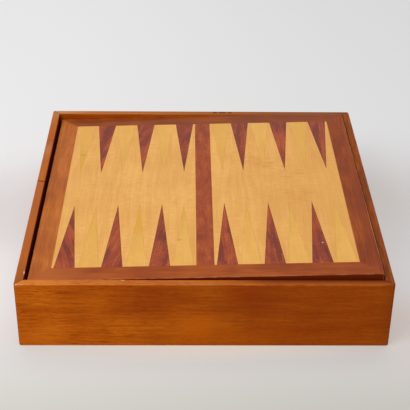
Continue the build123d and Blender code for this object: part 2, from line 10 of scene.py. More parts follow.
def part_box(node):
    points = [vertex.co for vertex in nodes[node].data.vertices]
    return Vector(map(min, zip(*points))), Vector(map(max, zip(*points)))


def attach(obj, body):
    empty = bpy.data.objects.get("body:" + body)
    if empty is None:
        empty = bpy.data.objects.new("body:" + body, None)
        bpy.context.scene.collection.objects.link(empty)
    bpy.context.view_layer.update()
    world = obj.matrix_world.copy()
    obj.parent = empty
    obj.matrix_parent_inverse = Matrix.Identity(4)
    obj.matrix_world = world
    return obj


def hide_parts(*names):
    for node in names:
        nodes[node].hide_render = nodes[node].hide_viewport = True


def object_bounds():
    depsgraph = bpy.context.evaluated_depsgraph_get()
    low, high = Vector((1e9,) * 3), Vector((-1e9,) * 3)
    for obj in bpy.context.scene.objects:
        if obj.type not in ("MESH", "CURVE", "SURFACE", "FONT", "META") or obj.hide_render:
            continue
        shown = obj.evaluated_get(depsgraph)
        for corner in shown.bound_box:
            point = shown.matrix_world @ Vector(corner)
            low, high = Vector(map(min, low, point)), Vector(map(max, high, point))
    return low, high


# The looks of a games compendium box: varnished box sides, a marquetry backgammon board lying
# askew on top, and the men, cups, dice, cards and dominoes under it. Metres, in the frame of
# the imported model. Tints are written as they look on a screen, 0 to 255.

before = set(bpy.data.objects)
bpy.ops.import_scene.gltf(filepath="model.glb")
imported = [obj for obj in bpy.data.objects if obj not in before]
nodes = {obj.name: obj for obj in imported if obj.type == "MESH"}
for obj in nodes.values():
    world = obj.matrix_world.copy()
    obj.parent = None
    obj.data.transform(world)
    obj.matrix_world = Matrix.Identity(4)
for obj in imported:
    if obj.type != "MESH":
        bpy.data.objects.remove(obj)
cad_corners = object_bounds()
MM = 0.001
QUARTER = math.pi / 2

# ---- Camera ----
IMAGE_WIDTH = 410  # pixels
FOCAL_LENGTH = 1086.0  # pixels
SENSOR = 36.0  # millimetres
CAMERA_PLACE = Vector((-0.0174, -0.9798, 0.6552))
CAMERA_DOWN = 31.76  # degrees, as are the next two
CAMERA_RIGHT = 1.16
CAMERA_ROLL = 0.795

# ---- Backgammon board, in the board's own frame ----
POINT_MARGIN = 1 * MM
POINT_GAP = 2.4 * MM
POINT_LENGTH = 112 * MM
POINTS_PER_HALF = 6

# ---- Studio ----
PAPER_GLOW = 0.5  # share of the paper's own brightness


# ======== Nodes ========


def linear(tint):
    """A screen tint as the linear colour that the shaders take."""
    shares = [level / 255 for level in tint]
    return (*[s / 12.92 if s <= 0.04045 else ((s + 0.055) / 1.055) ** 2.4 for s in shares], 1.0)


def sums(operation):
    """A wire's sum with another wire or a number, and the same the other way round."""
    return (
        lambda wire, other: wire.bench.math(operation, wire, other),
        lambda wire, other: wire.bench.math(operation, other, wire),
    )


class Wire:
    """One output of a node. A sum with it lays the node that works it out."""

    __add__, __radd__ = sums("ADD")
    __sub__, __rsub__ = sums("SUBTRACT")
    __mul__, __rmul__ = sums("MULTIPLY")
    __truediv__, __rtruediv__ = sums("DIVIDE")

    def __init__(self, bench, socket):
        self.bench = bench
        self.socket = socket

    def __abs__(self):
        return self.math("ABSOLUTE")

    def math(self, operation, *others):
        return self.bench.math(operation, self, *others)

    def weighed(self, weight, rest):
        """This wire times a weight, plus the rest."""
        return self.math("MULTIPLY_ADD", weight, rest)

    def other(self, output):
        """Another output of the same node."""
        return Wire(self.bench, self.socket.node.outputs[output])

    def parts(self):
        """X, Y and Z of a place."""
        x = self.bench.node("SeparateXYZ", {0: self})
        return x, x.other(1), x.other(2)

    def span(self, low, high, to_low=0.0, to_high=1.0):
        """Maps low..high onto to_low..to_high with soft ends."""
        inputs = {"Value": self, "From Min": low, "From Max": high}
        inputs.update({"To Min": to_low, "To Max": to_high})
        return self.bench.node("MapRange", inputs, interpolation_type="SMOOTHSTEP")

    def blend(self, first, second):
        """The first colour where this wire is 0, and the second where it is 1."""
        return self.bench.mix(self, first, second)

    def ramp(self, *stops):
        """A colour that follows this wire through stops, each a level and a tint."""
        made = self.bench.node("ValToRGB", {"Fac": self})
        band = made.socket.node.color_ramp
        while len(band.elements) < len(stops):
            band.elements.new(0.5)
        for element, (level, tint) in zip(band.elements, stops):
            element.position = level
            element.color = linear(tint)
        return made

    def noise(self, seed, scale=1.0, detail=2.0, roughness=0.5, output="Fac"):
        inputs = {"Vector": self, "W": seed, "Scale": scale}
        inputs.update({"Detail": detail, "Roughness": roughness})
        return self.bench.node("TexNoise", inputs, output, noise_dimensions="4D")

    def shake(self, seed, scale, detail):
        """Noise of three parts round 0."""
        return self.noise(seed, scale, detail, output="Color") + (-0.5, -0.5, -0.5)

    def seen_from(self, middle=(0, 0, 0), turn=(0, 0, 0)):
        """A place as seen from a frame at middle, turned by those angles."""
        inputs = {"Vector": self, "Location": middle, "Rotation": turn}
        return self.bench.node("Mapping", inputs, vector_type="TEXTURE")

    def crossed(self):
        """A place whose X runs from front to back, for grain that does."""
        return self.seen_from(turn=(0, 0, QUARTER))

    def spun(self, angle, axis):
        inputs = {"Vector": self, "Angle": angle}
        return self.bench.node("VectorRotate", inputs, rotation_type=axis + "_AXIS")


class Bench:
    """Lays nodes into one tree. An input is a number, a tuple or a wire."""

    def __init__(self, tree):
        self.tree = tree

    def feed(self, socket, value):
        if isinstance(value, Wire):
            self.tree.links.new(value.socket, socket)
        else:
            socket.default_value = value

    def node(self, kind, inputs, output=0, **settings):
        """A new node, as the wire from one of its outputs."""
        made = self.tree.nodes.new("ShaderNode" + kind)
        for setting, value in settings.items():
            setattr(made, setting, value)
        for key, value in inputs.items():
            self.feed(made.inputs[key], value)
        return Wire(self, made.outputs[output])

    def math(self, operation, *values):
        """Math of numbers, or Vector Math where one of the values is a place or a colour."""
        kinds = {value.socket.type for value in values if isinstance(value, Wire)}
        kind, output = ("Math", "Value") if kinds == {"VALUE"} else ("VectorMath", "Vector")
        if operation == "LENGTH":
            output = "Value"
        return self.node(kind, dict(enumerate(values)), output, operation=operation)

    def join(self, x, y, z):
        return self.node("CombineXYZ", {"X": x, "Y": y, "Z": z})

    def mix(self, share, *colours):
        """A mix of two colours, each a wire or a tint."""
        first, second = [linear(c) if isinstance(c, tuple) else c for c in colours]
        return self.node("Mix", {0: share, 6: first, 7: second}, 2, data_type="RGBA")


# ======== Effects that several finishes share ========


def effect(name, **inputs):
    """Turns a function of wires into a node group. An input starts at None if it is a place, and
    at its number if not. Calling the effect places its group."""

    def built(build):
        group = bpy.data.node_groups.new(name, "ShaderNodeTree")
        for key, start in inputs.items():
            kind = "NodeSocketVector" if start is None else "NodeSocketFloat"
            socket = group.interface.new_socket(key.capitalize(), in_out="INPUT", socket_type=kind)
            if start is not None:
                socket.default_value = start
        bench = Bench(group)
        given = group.nodes.new("NodeGroupInput").outputs
        results = build(*[Wire(bench, given[key.capitalize()]) for key in inputs])
        for label, wire in results.items():
            kind = "NodeSocketVector" if wire.socket.type == "VECTOR" else "NodeSocketFloat"
            group.interface.new_socket(label, in_out="OUTPUT", socket_type=kind)
        ends = group.nodes.new("NodeGroupOutput").inputs
        for label, wire in results.items():
            bench.feed(ends[label], wire)

        def placed(at, **values):
            fed = {key.capitalize(): value for key, value in values.items()}
            return at.bench.node("Group", {"Place": at, **fed}, node_tree=group)

        return placed

    return built


def drawn_out(place, drift, length, width):
    """A place that has drifted, in lengths along X and widths across it."""
    across = 1.0 / width
    return (place + drift) * place.bench.join(1.0 / length, across, across)


def chances(cell, seed):
    """Two chance values of a cell."""
    inputs = {"Vector": cell, "W": seed}
    dice = cell.bench.node("TexWhiteNoise", inputs, "Value", noise_dimensions="4D")
    return {"Chance": dice, "Twin": dice.other("Color").parts()[1]}


@effect("grain lines", place=None, length=0.06, width=0.002, wander=0.002, seed=0.0)
def grain_lines(place, length, width, wander, seed):
    """Lines that run along X and wander a little sideways."""
    drift = place.shake(seed, 14, 1) * place.bench.join(0.0, wander, wander)
    level = drawn_out(place, drift, length, width).noise(seed, detail=2.5, roughness=0.55)
    return {"Lines": level.span(0.25, 0.75)}


@effect("grain flecks", place=None, length=0.01, width=0.001, share=0.3, seed=0.0)
def grain_flecks(place, length, width, share, seed):
    """Short dark dashes along X: pores and ray flecks."""
    drift = place.shake(seed, 30, 0) * (0.0, 0.008, 0.008)
    level = drawn_out(place, drift, length, width).noise(seed, detail=1)
    edge = 0.78 - share * 0.45
    return {"Flecks": level.span(edge, edge + 0.14)}


@effect("mottle", place=None, size=0.05, seed=0.0)
def mottle(place, size, seed):
    """Soft uneven patches of about one size."""
    return {"Mottle": place.noise(seed, 1.0 / size, 2).span(0.3, 0.7)}


@effect("mark", place=None, middle=None, reach=None, ragged=0.0, core=0.55)
def mark(place, middle, reach, ragged, core):
    """One soft-edged mark round a middle, with its reach each way."""
    away = (place - middle) / reach
    distance = (away + away.shake(3.0, 1.6, 2) * ragged).math("LENGTH")
    return {"Mark": distance.span(1.0, core)}


@effect("edge wear", place=None, half=None, top=0.0, reach=0.001, seed=0.0)
def edge_wear(place, half, top, reach, seed):
    """Bare streaks along the arrises of a block of that half size, whose top is at that level."""
    x, y, z = place.parts()
    half_x, half_y, _ = half.parts()
    from_x, from_y, from_top = half_x - abs(x), half_y - abs(y), top - z
    nearest = reach + 1.0
    for first, second in ((from_x, from_top), (from_y, from_top), (from_x, from_y)):
        away = place.bench.join(first, second, 0.0).math("LENGTH")
        nearest = nearest.math("MINIMUM", away)
    worn = reach * place.noise(seed, 90, 3, 0.7).span(0.35, 0.7, 0.2, 1.3)
    return {"Wear": (nearest / worn).span(1.0, 0.4)}


@effect("cells", place=None, size=None, seed=0.0)
def cells(place, size, seed):
    """Two chance values that are the same all over one cell of a grid."""
    return chances((place / size).math("FLOOR"), seed)


@effect("point place", place=None, inner=0.01, pitch=0.022, depth=0.145, length=0.112, base=0.01)
def point_place(place, inner, pitch, depth, length, base):
    """Where a place lies on its backgammon point: its place there, in from the point's edge, how
    far from its base to its tip, and two chance values of that point."""
    x, y, z = place.parts()
    outward = abs(x) - inner
    number = (outward / pitch).math("FLOOR")
    aside = outward - (number + 0.5) * pitch
    from_base = depth - abs(y)
    along = from_base / length
    inset = base * (1.0 - along) - abs(aside)
    local = place.bench.join(from_base, aside, z)
    corner = place.bench.join(number, x.math("SIGN"), y.math("SIGN"))
    return {"Local": local, "Inset": inset, "Along": along, **chances(corner, 4.0)}


# The same effects with their sizes in millimetres.


def lines(at, length, width, wander, seed):
    return grain_lines(at, length=length * MM, width=width * MM, wander=wander * MM, seed=seed)


def flecks(at, length, width, share, seed):
    return grain_flecks(at, length=length * MM, width=width * MM, share=share, seed=seed)


def patches(at, size, seed):
    return mottle(at, size=size * MM, seed=seed)


SOFT = 0.0  # cores of spots: the share of their reach that is of one tint
FIRM = 0.55


def spots(at, colour, *rows, ragged=0.6, core=SOFT):
    """Lays spots over a colour: the tint, middle, reach and strength of each, and its core if it
    has its own."""
    for tint, middle, reach, strength, *own in rows:
        there = mark(at, middle=Vector(middle) * MM, reach=Vector(reach) * MM, ragged=ragged,
                     core=own[0] if own else core)
        colour = (there * strength).blend(colour, tint)
    return colour


# ======== Where a finish is laid ========


def corners_of(points):
    """The lowest and the highest corner of the box round some points."""
    return [Vector([pick(point[axis] for point in points) for axis in range(3)]) for pick in (min, max)]


def board_frame():
    """The board's own frame: the middle of its top, X along its width and Z up out of it."""
    bar = nodes["centre_bar"].data
    facing_up = [face for face in bar.polygons if face.normal.z > 0.9]
    up = sum((face.normal * face.area for face in facing_up), Vector()).normalized()
    low, high = corners_of([bar.vertices[index].co for face in facing_up for index in face.vertices])
    right = up.cross(Vector((1, 0, 0))).cross(up).normalized()
    return (low + high) / 2, Matrix((right, up.cross(right), up)).transposed()


board_middle, board_turn = board_frame()
board_angles = board_turn.to_euler()


def reach_in_board(node):
    """The lowest and highest corner of a node in the board's own frame."""
    back = board_turn.transposed()
    return corners_of([back @ (vertex.co - board_middle) for vertex in nodes[node].data.vertices])


def box_place(bench):
    return bench.node("TexCoord", {}, "Object")


def box_crosswise(bench):
    return box_place(bench).crossed()


def board_place(bench):
    return box_place(bench).seen_from(board_middle, board_angles)


def board_crosswise(bench):
    return board_place(bench).crossed()


# ======== Finishes ========


class Finish(Bench):
    """A new material, with its bench and its shader. more holds further constants."""

    def __init__(self, name, roughness=0.4, gloss=0.3, more=None):
        self.material = bpy.data.materials.new(name)
        self.material.use_nodes = True
        self.material.node_tree.nodes.clear()
        super().__init__(self.material.node_tree)
        levels = {"Roughness": roughness, "Specular IOR Level": gloss, **(more or {})}
        self.shader = self.node("BsdfPrincipled", levels)
        self.surface = self.tree.nodes.new("ShaderNodeOutputMaterial").inputs["Surface"]
        self.feed(self.surface, self.shader)

    def lay(self, colour, roughness=None, height=None, depth=0.0, strength=1.0):
        """Feeds the shader. A height of 0..1 becomes relief of that depth in metres."""
        fed = {"Base Color": colour}
        if roughness is not None:
            fed["Roughness"] = roughness
        if height is not None:
            relief = {"Height": height, "Distance": depth, "Strength": strength}
            fed["Normal"] = self.node("Bump", relief)
        for key, value in fed.items():
            self.feed(self.shader.socket.node.inputs[key], value)
        return self.material


def timber(name, place, tints, streak=(60, 2), pore=(6, 0.5), pores=0.35, seed=0.0,
           rough=(0.32, 0.48), gloss=0.22, patch=60, marks=None):
    """Wood along X of its place: pale, middle and dark tints, a pore tint, streaks, pores and
    soft patches, whose sizes are in millimetres. marks lays further colour over it."""
    pale, middle, dark, pore_tint = tints
    wood = Finish(name, gloss=gloss)
    at = place(wood)
    broad = lines(at, 4 * streak[0], 7 * streak[1], 12, seed)
    fine = lines(at, *streak, 3, seed + 5)
    patchy = patches(at, patch, seed + 9)
    level = patchy.weighed(0.3, broad.weighed(0.35, fine * 0.35))
    colour = level.ramp((0.2, dark), (0.5, middle), (0.8, pale))
    pitted = flecks(at, *pore, pores, seed + 13)
    colour = (pitted * 0.75).blend(colour, pore_tint)
    if marks:
        colour = marks(at, colour)
    film = patchy.weighed(0.6, fine * 0.4)
    return wood.lay(colour, film.span(0.0, 1.0, *rough), fine - pitted, 0.12 * MM, 0.5)


def dress(node, material):
    """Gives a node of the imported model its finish."""
    slots = nodes[node].data.materials
    if len(slots) == 0:
        slots.append(material)
    for index in range(len(slots)):
        slots[index] = material


def mitred(x, y, colour, width, strength, tint):
    """A dark seam where mitred pieces meet, on the diagonals."""
    seam = abs(abs(x) - abs(y)).span(*width)
    return (seam * strength).blend(colour, tint)


# ---- The box sides ----

honey = ((208, 110, 16), (188, 90, 6), (164, 70, 2), (112, 42, 2))
box_half = cad_corners[1].x
rim_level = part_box("box_side_front")[1].z
SIDE_GLOSS = 0.04
CRACK_PLACE = 10.8 * MM  # behind the middle of the left side
CRACK_BEND = 420.0  # radians of its bends to a metre
chip = (246, 206, 168)
stain = (48, 16, 4)


def front_marks(at, colour):
    """The front side: dark dashes and honey tones on the left, redder and darker to the right, with a
    glow round the middle. Its rim carries a painted shadow of the board along the inner edge on the
    right, with a paler place at its middle, and it is chipped on the left, with a painted highlight on
    the top arris at its left corner. A dark line runs down its left end."""
    x, y, z = at.parts()
    colour = (x.span(-0.16, 0.1) * 0.62).blend(colour, (140, 56, 3))
    dashes = flecks(at, 20, 1.6, 0.5, 31.0) * x.span(0.05, -0.1, 0.2, 0.42)
    colour = dashes.blend(colour, (122, 44, 2))
    colour = (flecks(at, 6, 0.7, 0.55, 32.0) * 0.3).blend(colour, (104, 36, 2))
    colour = spots(
        at, colour,
        ((138, 46, 4), (-54, -175, 50), (60, 60, 32), 0.6),
        ((134, 46, 4), (45, -175, 54), (60, 60, 30), 0.55),
        ((204, 102, 8), (-8, -175, 20), (46, 60, 26), 0.6),
        ((186, 92, 8), (44, -175, 10), (70, 60, 16), 0.4),
        ((116, 46, 4), (178, -175, 40), (26, 60, 70), 0.5),
        ((150, 62, 4), (-15, -175, 58), (24, 60, 16), 0.5),
        ((140, 56, 4), (-45, -175, 6), (24, 60, 10), 0.4),
        ((216, 116, 22), (-152, -175, 10), (40, 60, 14), 0.5),
        ((208, 110, 18), (-105, -175, 46), (26, 60, 26), 0.3),
        ragged=1.0,
    )
    # painted shadow: the board's edge shades the rim's inner edge on the right
    on_rim = z.span(rim_level - 1.2 * MM, rim_level - 0.4 * MM)
    board_shadow = on_rim * y.span(-0.1745, -0.168, 0.22, 1.0) * x.span(0.015, 0.075)
    colour = (board_shadow * 0.8).blend(colour, (96, 32, 4))
    return spots(
        at, colour,
        ((206, 118, 44), (-84, -175, 16.4), (3.4, 20, 2.2), 0.4),
        # the next two pale marks at the front-left corner of the rim's top arris are a painted highlight
        (chip, (-168.5, -175, 70.6), (4.5, 1.2, 0.5), 0.3, FIRM),
        (chip, (-172.5, -175, 70.6), (1.2, 1.2, 0.6), 0.6, FIRM),
        (stain, (-175, -175, 62), (1.1, 2, 9), 0.7, FIRM),
        ((190, 106, 38), (40, -174, 71), (26, 2.4, 1.0), 0.4),
        (chip, (-75.7, -168, 71), (2.2, 0.6, 1.0), 0.6, FIRM),
        (chip, (-116.4, -168.2, 71), (0.9, 0.5, 0.8), 0.35, FIRM),
    )


def left_marks(at, colour):
    """The left side, whose X runs back and whose Y runs left: painted shade on the inner face below the
    rim, a crack across the rim, and a rim that is darker at its front and paler in two places, with two
    small dark knots and a chip at the front."""
    x, y, z = at.parts()
    # painted shade: the inner face in the gap beside the board is darkened below the rim
    inner = y.span(0.1671, 0.1673, 1.0, 0.0) * z.span(rim_level - 0.4 * MM, rim_level - 1.8 * MM)
    colour = inner.blend(colour, (94, 20, 0))
    bend = (y * CRACK_BEND).math("SINE") * (0.6 * MM)
    crack = abs(x - CRACK_PLACE + bend).span(1.1 * MM, 0.4 * MM) * z.span(55 * MM, 66 * MM)
    return spots(
        at, crack.blend(colour, stain),
        ((112, 52, 18), (-168, 171, 71), (44, 8, 3), 0.4),
        ((176, 120, 80), (78, 171, 71), (24, 8, 3), 0.5),
        ((176, 120, 80), (165, 171, 71), (24, 8, 3), 0.5),
        (stain, (101.9, 171.3, 71), (2.0, 0.9, 2), 0.55, FIRM),
        (stain, (94, 172, 71), (1.2, 0.7, 2), 0.4, FIRM),
        (chip, (-156, 167, 71), (4.5, 0.9, 1.0), 1.0, FIRM),
    )


def back_marks(at, colour):
    """The back side: a rim that is paler at its left end and darker to the right, with a dark
    knot in it."""
    x, _, z = at.parts()
    darker = z.span(rim_level - 1.2 * MM, rim_level - 0.4 * MM) * x.span(-0.13, 0.1)
    return spots(
        at, (darker * 0.7).blend(colour, (122, 62, 28)),
        ((200, 160, 122), (-168, 172, 71), (46, 6, 2), 0.42),
        ((104, 48, 24), (165, 172, 71), (30, 8, 3), 0.5),
        *[((88, 34, 10), (along, 172, 71), (reach, 3.2, 6), 0.7, FIRM)
          for along, reach in ((16, 3.5), (25, 5.5), (34, 3.0))],
    )


def right_marks(at, colour):
    """The right side, whose X runs back and whose Y runs left: a rim that is darker at its front
    end and round its middle."""
    return spots(
        at, colour,
        ((88, 42, 24), (-165, -169, 71), (30, 6, 3), 0.6),
        ((92, 44, 26), (10, -171, 71), (50, 8, 3), 0.4),
    )


def side_marks(rim, worn, marks):
    """A side's own marks, its rim in a tint of its own, mitre seams, and worn outer arrises that are
    paler to the left and also carry a painted highlight.
    """

    def laid(at, colour):
        x, y, z = at.parts()
        top = z.span(rim_level - 0.9 * MM, rim_level - 0.1 * MM)
        top *= lines(at, 20, 1.5, 2, 8.0).span(0.0, 1.0, 0.95, 0.5)
        colour = marks(at, top.blend(colour, rim))
        half = (box_half, box_half, 0.0)
        # pale arrises: real wear together with a painted highlight, strongest at the left
        wear = edge_wear(at, half=half, top=rim_level, reach=1.4 * MM, seed=2.0)
        wear_and_highlight = wear * x.span(0.1, -0.16, 0.4 * worn, worn)
        colour = wear_and_highlight.blend(colour, (214, 138, 72))
        return mitred(x, y, colour, (0.9 * MM, 0.2 * MM), 0.6, stain)

    return laid


for side, way, seed, rim, worn, marks in (
    ("front", box_place, 1.0, (202, 120, 52), 0.3, front_marks),
    ("right", box_crosswise, 4.0, (103, 54, 30), 0.1, right_marks),
    ("back", box_place, 2.0, (166, 106, 60), 0.15, back_marks),
    ("left", box_crosswise, 3.0, (160, 90, 44), 0.3, left_marks),
):
    material = timber(side + " side", way, honey, streak=(34, 1.3), pore=(9, 0.8), pores=0.3,
                      seed=seed, gloss=SIDE_GLOSS, marks=side_marks(rim, worn, marks))
    dress("box_side_" + side, material)

# ---- Inside the box ----

walnut = ((170, 92, 38), (146, 72, 26), (120, 54, 18), (84, 34, 12))
for seed, side in enumerate(("front", "right", "back", "left"), 10):
    way = box_crosswise if side in ("left", "right") else box_place
    dress("lining_" + side, timber(side + " lining", way, walnut, seed=seed, gloss=0.15))
for seed, name in enumerate(sorted(name for name in nodes if name.startswith("divider")), 20):
    low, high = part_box(name)
    way = box_place if high.x - low.x > high.y - low.y else box_crosswise
    dress(name, timber(name.replace("_", " "), way, walnut, seed=seed, gloss=0.15))

# ---- The games board ----

rail_tints = {
    "left": ((186, 106, 38), (166, 86, 26), (148, 72, 20), (108, 46, 12)),
    "front": ((172, 86, 24), (150, 66, 12), (130, 52, 8), (96, 34, 6)),
    "back": ((152, 78, 32), (134, 62, 20), (116, 50, 16), (84, 32, 10)),
    "right": ((154, 74, 20), (134, 56, 10), (114, 44, 8), (84, 30, 4)),
}
board_half = max(reach_in_board("board_rail_" + side)[1].x for side in ("left", "right"))
# a dark stain tint for seams, glue lines and knots, also used as painted shade on the board's outer edge
# faces
stain_and_edge_shade = (110, 34, 4)


def rail_marks(turned):
    """Painted shade on the outer edge faces below the top, mitre seams and worn arrises. turned says that
    X runs to the back, on the side rails. The others are redder to the right, with a ring knot in the
    back right corner."""

    def marks(at, colour):
        x, y, z = at.parts()
        far = abs(x).math("MAXIMUM", abs(y))
        # painted shade: the board's outer edge faces down in the gap by the box sides
        edge_shade = far.span(board_half - 0.7 * MM, board_half - 0.1 * MM)
        colour = (edge_shade * z.span(-0.3 * MM, -1.1 * MM)).blend(colour, stain_and_edge_shade)
        colour = mitred(x, y, colour, (0.6 * MM, 0.1 * MM), 0.5, stain_and_edge_shade)
        wear = edge_wear(at, half=(board_half, board_half, 0.0), reach=1.2 * MM, seed=7.0)
        colour = (wear * 0.35).blend(colour, (206, 130, 78))
        if turned:
            worn = ((206, 136, 88), (-90, -165, 0), (80, 0.9, 1.0), 0.6, FIRM)
            colour = spots(at, colour, worn, ragged=0.2)
            return spots(at, colour, ((204, 122, 44), (-66, 155, 0), (60, 30, 9), 0.2))
        return spots(
            at, x.span(-0.1, 0.16, 0.0, 0.3).blend(colour, (112, 44, 8)),
            (stain, (80.6, -165, -10), (2.6, 3, 2.4), 1.0, FIRM),
            ((182, 100, 40), (-150, -155, 0), (56, 30, 9), 0.5),
            (stain_and_edge_shade, (160, 161, 0), (3.6, 2.6, 4), 0.6, FIRM),
            ((150, 78, 40), (160, 161, 0), (1.8, 1.3, 4), 0.9, FIRM),
        )

    return marks


for seed, side in enumerate(rail_tints, 40):
    turned = side in ("left", "right")
    way = board_crosswise if turned else board_place
    material = timber(side + " rail", way, rail_tints[side], streak=(30, 1.1), pore=(5, 0.6),
                      pores=0.3, seed=seed, rough=(0.36, 0.5), gloss=0.16, patch=35,
                      marks=rail_marks(turned))
    dress("board_rail_" + side, material)

maple = ((226, 170, 92), (218, 160, 82), (210, 150, 72), (204, 144, 64))
straw = ((222, 170, 88), (218, 164, 78), (213, 158, 72), (206, 150, 64))
padauk = ((178, 84, 38), (156, 64, 28), (130, 46, 22), (84, 22, 14))
mahogany = ((166, 80, 30), (148, 62, 22), (128, 48, 16), (96, 32, 10))
LEAN = 0.25  # radians, of the grain of the left half's dark points

field_low, field_high = reach_in_board("field_right")
point_pitch = (field_high.x - field_low.x - 2 * POINT_MARGIN) / POINTS_PER_HALF
point_inner = field_low.x + POINT_MARGIN
point_base = (point_pitch - POINT_GAP) / 2


def ripple(at, colour, tint, strength):
    """Ripple across the grain, as in fiddleback maple, with fine lines along it."""
    waves = lines(at.crossed(), 9, 2.1, 3, 61.0)
    both = waves.weighed(0.65, lines(at, 60, 0.9, 1, 62.0) * 0.35)
    return (both.span(0.35, 0.8) * strength).blend(colour, tint)


def field_marks(at, colour):
    """Ripple, a few stronger ripples, a dark edge, and a little darker to the right."""
    here = board_place(at.bench)
    x = here.parts()[0]
    colour = x.span(0.02, 0.15, 0.0, 0.32).blend(colour, (200, 138, 62))
    bars = lines(at.crossed(), 16, 1.3, 3, 64.0).span(0.45, 0.8)
    for middle in ((44, 66, 0), (66, 50, 0), (96, 26, 0), (92, -20, 0)):
        inside = mark(here, middle=Vector(middle) * MM, reach=(0.036, 0.026, 0.01), ragged=0.8, core=0.1)
        colour = (bars * inside * 0.55).blend(colour, (192, 116, 46))
    edge = (field_high.x - abs(x)).span(1.1 * MM, 0.1 * MM, 0.0, 0.45)
    return ripple(at, edge.blend(colour, (150, 84, 30)), (206, 142, 66), 0.42)


def on_points(bench):
    """The point place of the board's own frame."""
    return point_place(board_place(bench), inner=point_inner, pitch=point_pitch, depth=field_high.y,
                       length=POINT_LENGTH, base=point_base)


def leaning_on_point(bench):
    """Along each dark point, and from its own part of the veneer. The left half's veneer leans, and
    its corner point leans the other way."""
    here = on_points(bench)
    x, y, _ = board_place(bench).parts()
    corner = point_inner + (POINTS_PER_HALF - 1) * point_pitch
    lean = x.span(-corner - 0.1 * MM, -corner + 0.1 * MM, LEAN, -LEAN)
    lean = lean * x.span(-0.1 * MM, 0.1 * MM, 1.0, 0.1) * y.math("SIGN")
    return here.spun(lean, "Z") + bench.join(here.other("Twin") * 3.0, here.other("Chance"), 0.0)


def dark_point_marks(at, colour):
    """Purple clouds, fine dark lines, pale ticks and a dark edge, with a pale speck and a scratch."""
    inset = on_points(at.bench).other("Inset")
    colour = lines(at, 60, 9, 6, 67.0).span(0.4, 0.8, 0.0, 0.75).blend(colour, (104, 36, 22))
    colour = lines(at, 40, 0.8, 1, 68.0).span(0.45, 0.75, 0.0, 0.5).blend(colour, (94, 32, 26))
    colour = (flecks(at, 3, 0.7, 0.45, 69.0) * 0.35).blend(colour, (212, 120, 80))
    colour = inset.span(0.9 * MM, 0.1 * MM, 0.0, 0.45).blend(colour, (96, 40, 12))
    return spots(
        board_place(at.bench), colour,
        (chip, (113.4, -110.8, 0), (1.0, 0.9, 4), 0.65),
        ((206, 132, 96), (109.4, -144, 0), (1.6, 0.6, 4), 0.6),
        core=FIRM,
    )


def light_point_marks(at, colour):
    """Olive streaks towards the tip and a broken outline, and the stains of single points."""
    here = on_points(at.bench)
    colour = (here.other("Twin").span(0.4, 1.0) * 0.4).blend(colour, (208, 152, 62))
    streaks = lines(at, 60, 4, 3, 65.0).span(0.2, 0.8, 0.35, 1.0)
    toward_tip = here.other("Along").span(0.2, 0.8) * streaks
    toward_tip *= here.other("Chance").span(0.0, 1.0, 0.25, 0.7)
    colour = toward_tip.blend(colour, (202, 148, 58))
    reach = (patches(at, 22, 66.0) * 0.0016).math("MAXIMUM", 0.0001)
    outline = (here.other("Inset") / reach).span(1.0, 0.1)
    colour = spots(
        board_place(at.bench), (outline * 0.36).blend(colour, (176, 118, 44)),
        ((206, 152, 54), (-133, 56, 0), (6, 22, 4), 0.7),
        ((168, 108, 38), (-133, 75.4, 0), (6, 1.6, 4), 0.5),
        ((212, 150, 42), (-64, -62, 0), (8, 34, 4), 0.7),
        ((178, 120, 46), (-28, -101, 0), (8, 2.6, 4), 0.6),
        ((150, 100, 40), (129.7, -107, 0), (1.3, 1.0, 4), 0.7),
        ragged=0.7, core=0.3,
    )
    return ripple(at, colour, (205, 140, 62), 0.2)


for seed, side in enumerate(("left", "right"), 50):
    material = timber(side + " field", board_crosswise, maple, streak=(40, 0.9), pores=0.05,
                      patch=45, seed=seed, marks=field_marks)
    dress("field_" + side, material)
dress("centre_bar", timber("bar", board_crosswise, mahogany, streak=(9, 0.9), pore=(4, 0.7),
                           patch=11, seed=52.0))
dress("dark_points", timber("dark points", leaning_on_point, padauk, streak=(25, 0.8), pore=(5, 0.5),
                            patch=30, seed=53.0, marks=dark_point_marks))
dress("light_points", timber("light points", board_crosswise, straw, streak=(40, 1.2), pores=0.0,
                             patch=30, seed=54.0, marks=light_point_marks))

# ---- The chess side of the board, and the sheets that nobody sees from above ----

squares_low, squares_high = reach_in_board("chess_dark_squares")
square = (squares_high.x - squares_low.x) / 8
square_cell = (square, square, 1.0)
birch = ((222, 184, 132), (206, 164, 110), (190, 146, 92), (150, 106, 62))


def own_piece(at, cell):
    """A place in the piece of wood that its cell was cut from."""
    return at + at.bench.join(cell, cell.other("Twin"), 0.0)


def on_squares(bench):
    """Each chess square's own piece of veneer, with its grain from front to back."""
    at = board_crosswise(bench)
    return own_piece(at, cells(at, size=square_cell, seed=5.0))


def square_marks(tint, strength):
    """Some squares darker than others, and a dark line of glue round each."""

    def marks(at, colour):
        here = board_place(at.bench)
        chance = cells(here, size=square_cell, seed=6.0)
        colour = (chance * strength).blend(colour, tint)
        for along in here.parts()[:2]:
            into = abs(along.math("WRAP", square / 2, -square / 2))
            colour = (into.span(0.45 * MM, 0.1 * MM) * 0.5).blend(colour, stain_and_edge_shade)
        return colour

    return marks


dress("chess_light_squares", timber("light squares", on_squares, maple, streak=(30, 0.8), pores=0.1,
                                    patch=25, seed=55.0, marks=square_marks((196, 128, 60), 0.5)))
dress("chess_dark_squares", timber("dark squares", on_squares, padauk, streak=(25, 1.0), patch=25,
                                   seed=56.0, marks=square_marks((70, 22, 14), 0.55)))
dress("chess_border", timber("chess border", board_crosswise, mahogany, seed=57.0))
dress("board_core", timber("core ply", board_place, birch, streak=(40, 0.5), seed=58.0))
dress("bottom_panel", timber("bottom ply", box_place, birch, streak=(50, 1.4), pores=0.2, seed=59.0,
                             rough=(0.55, 0.7), gloss=0.1))


# ---- Baize, leather, plastics and card ----


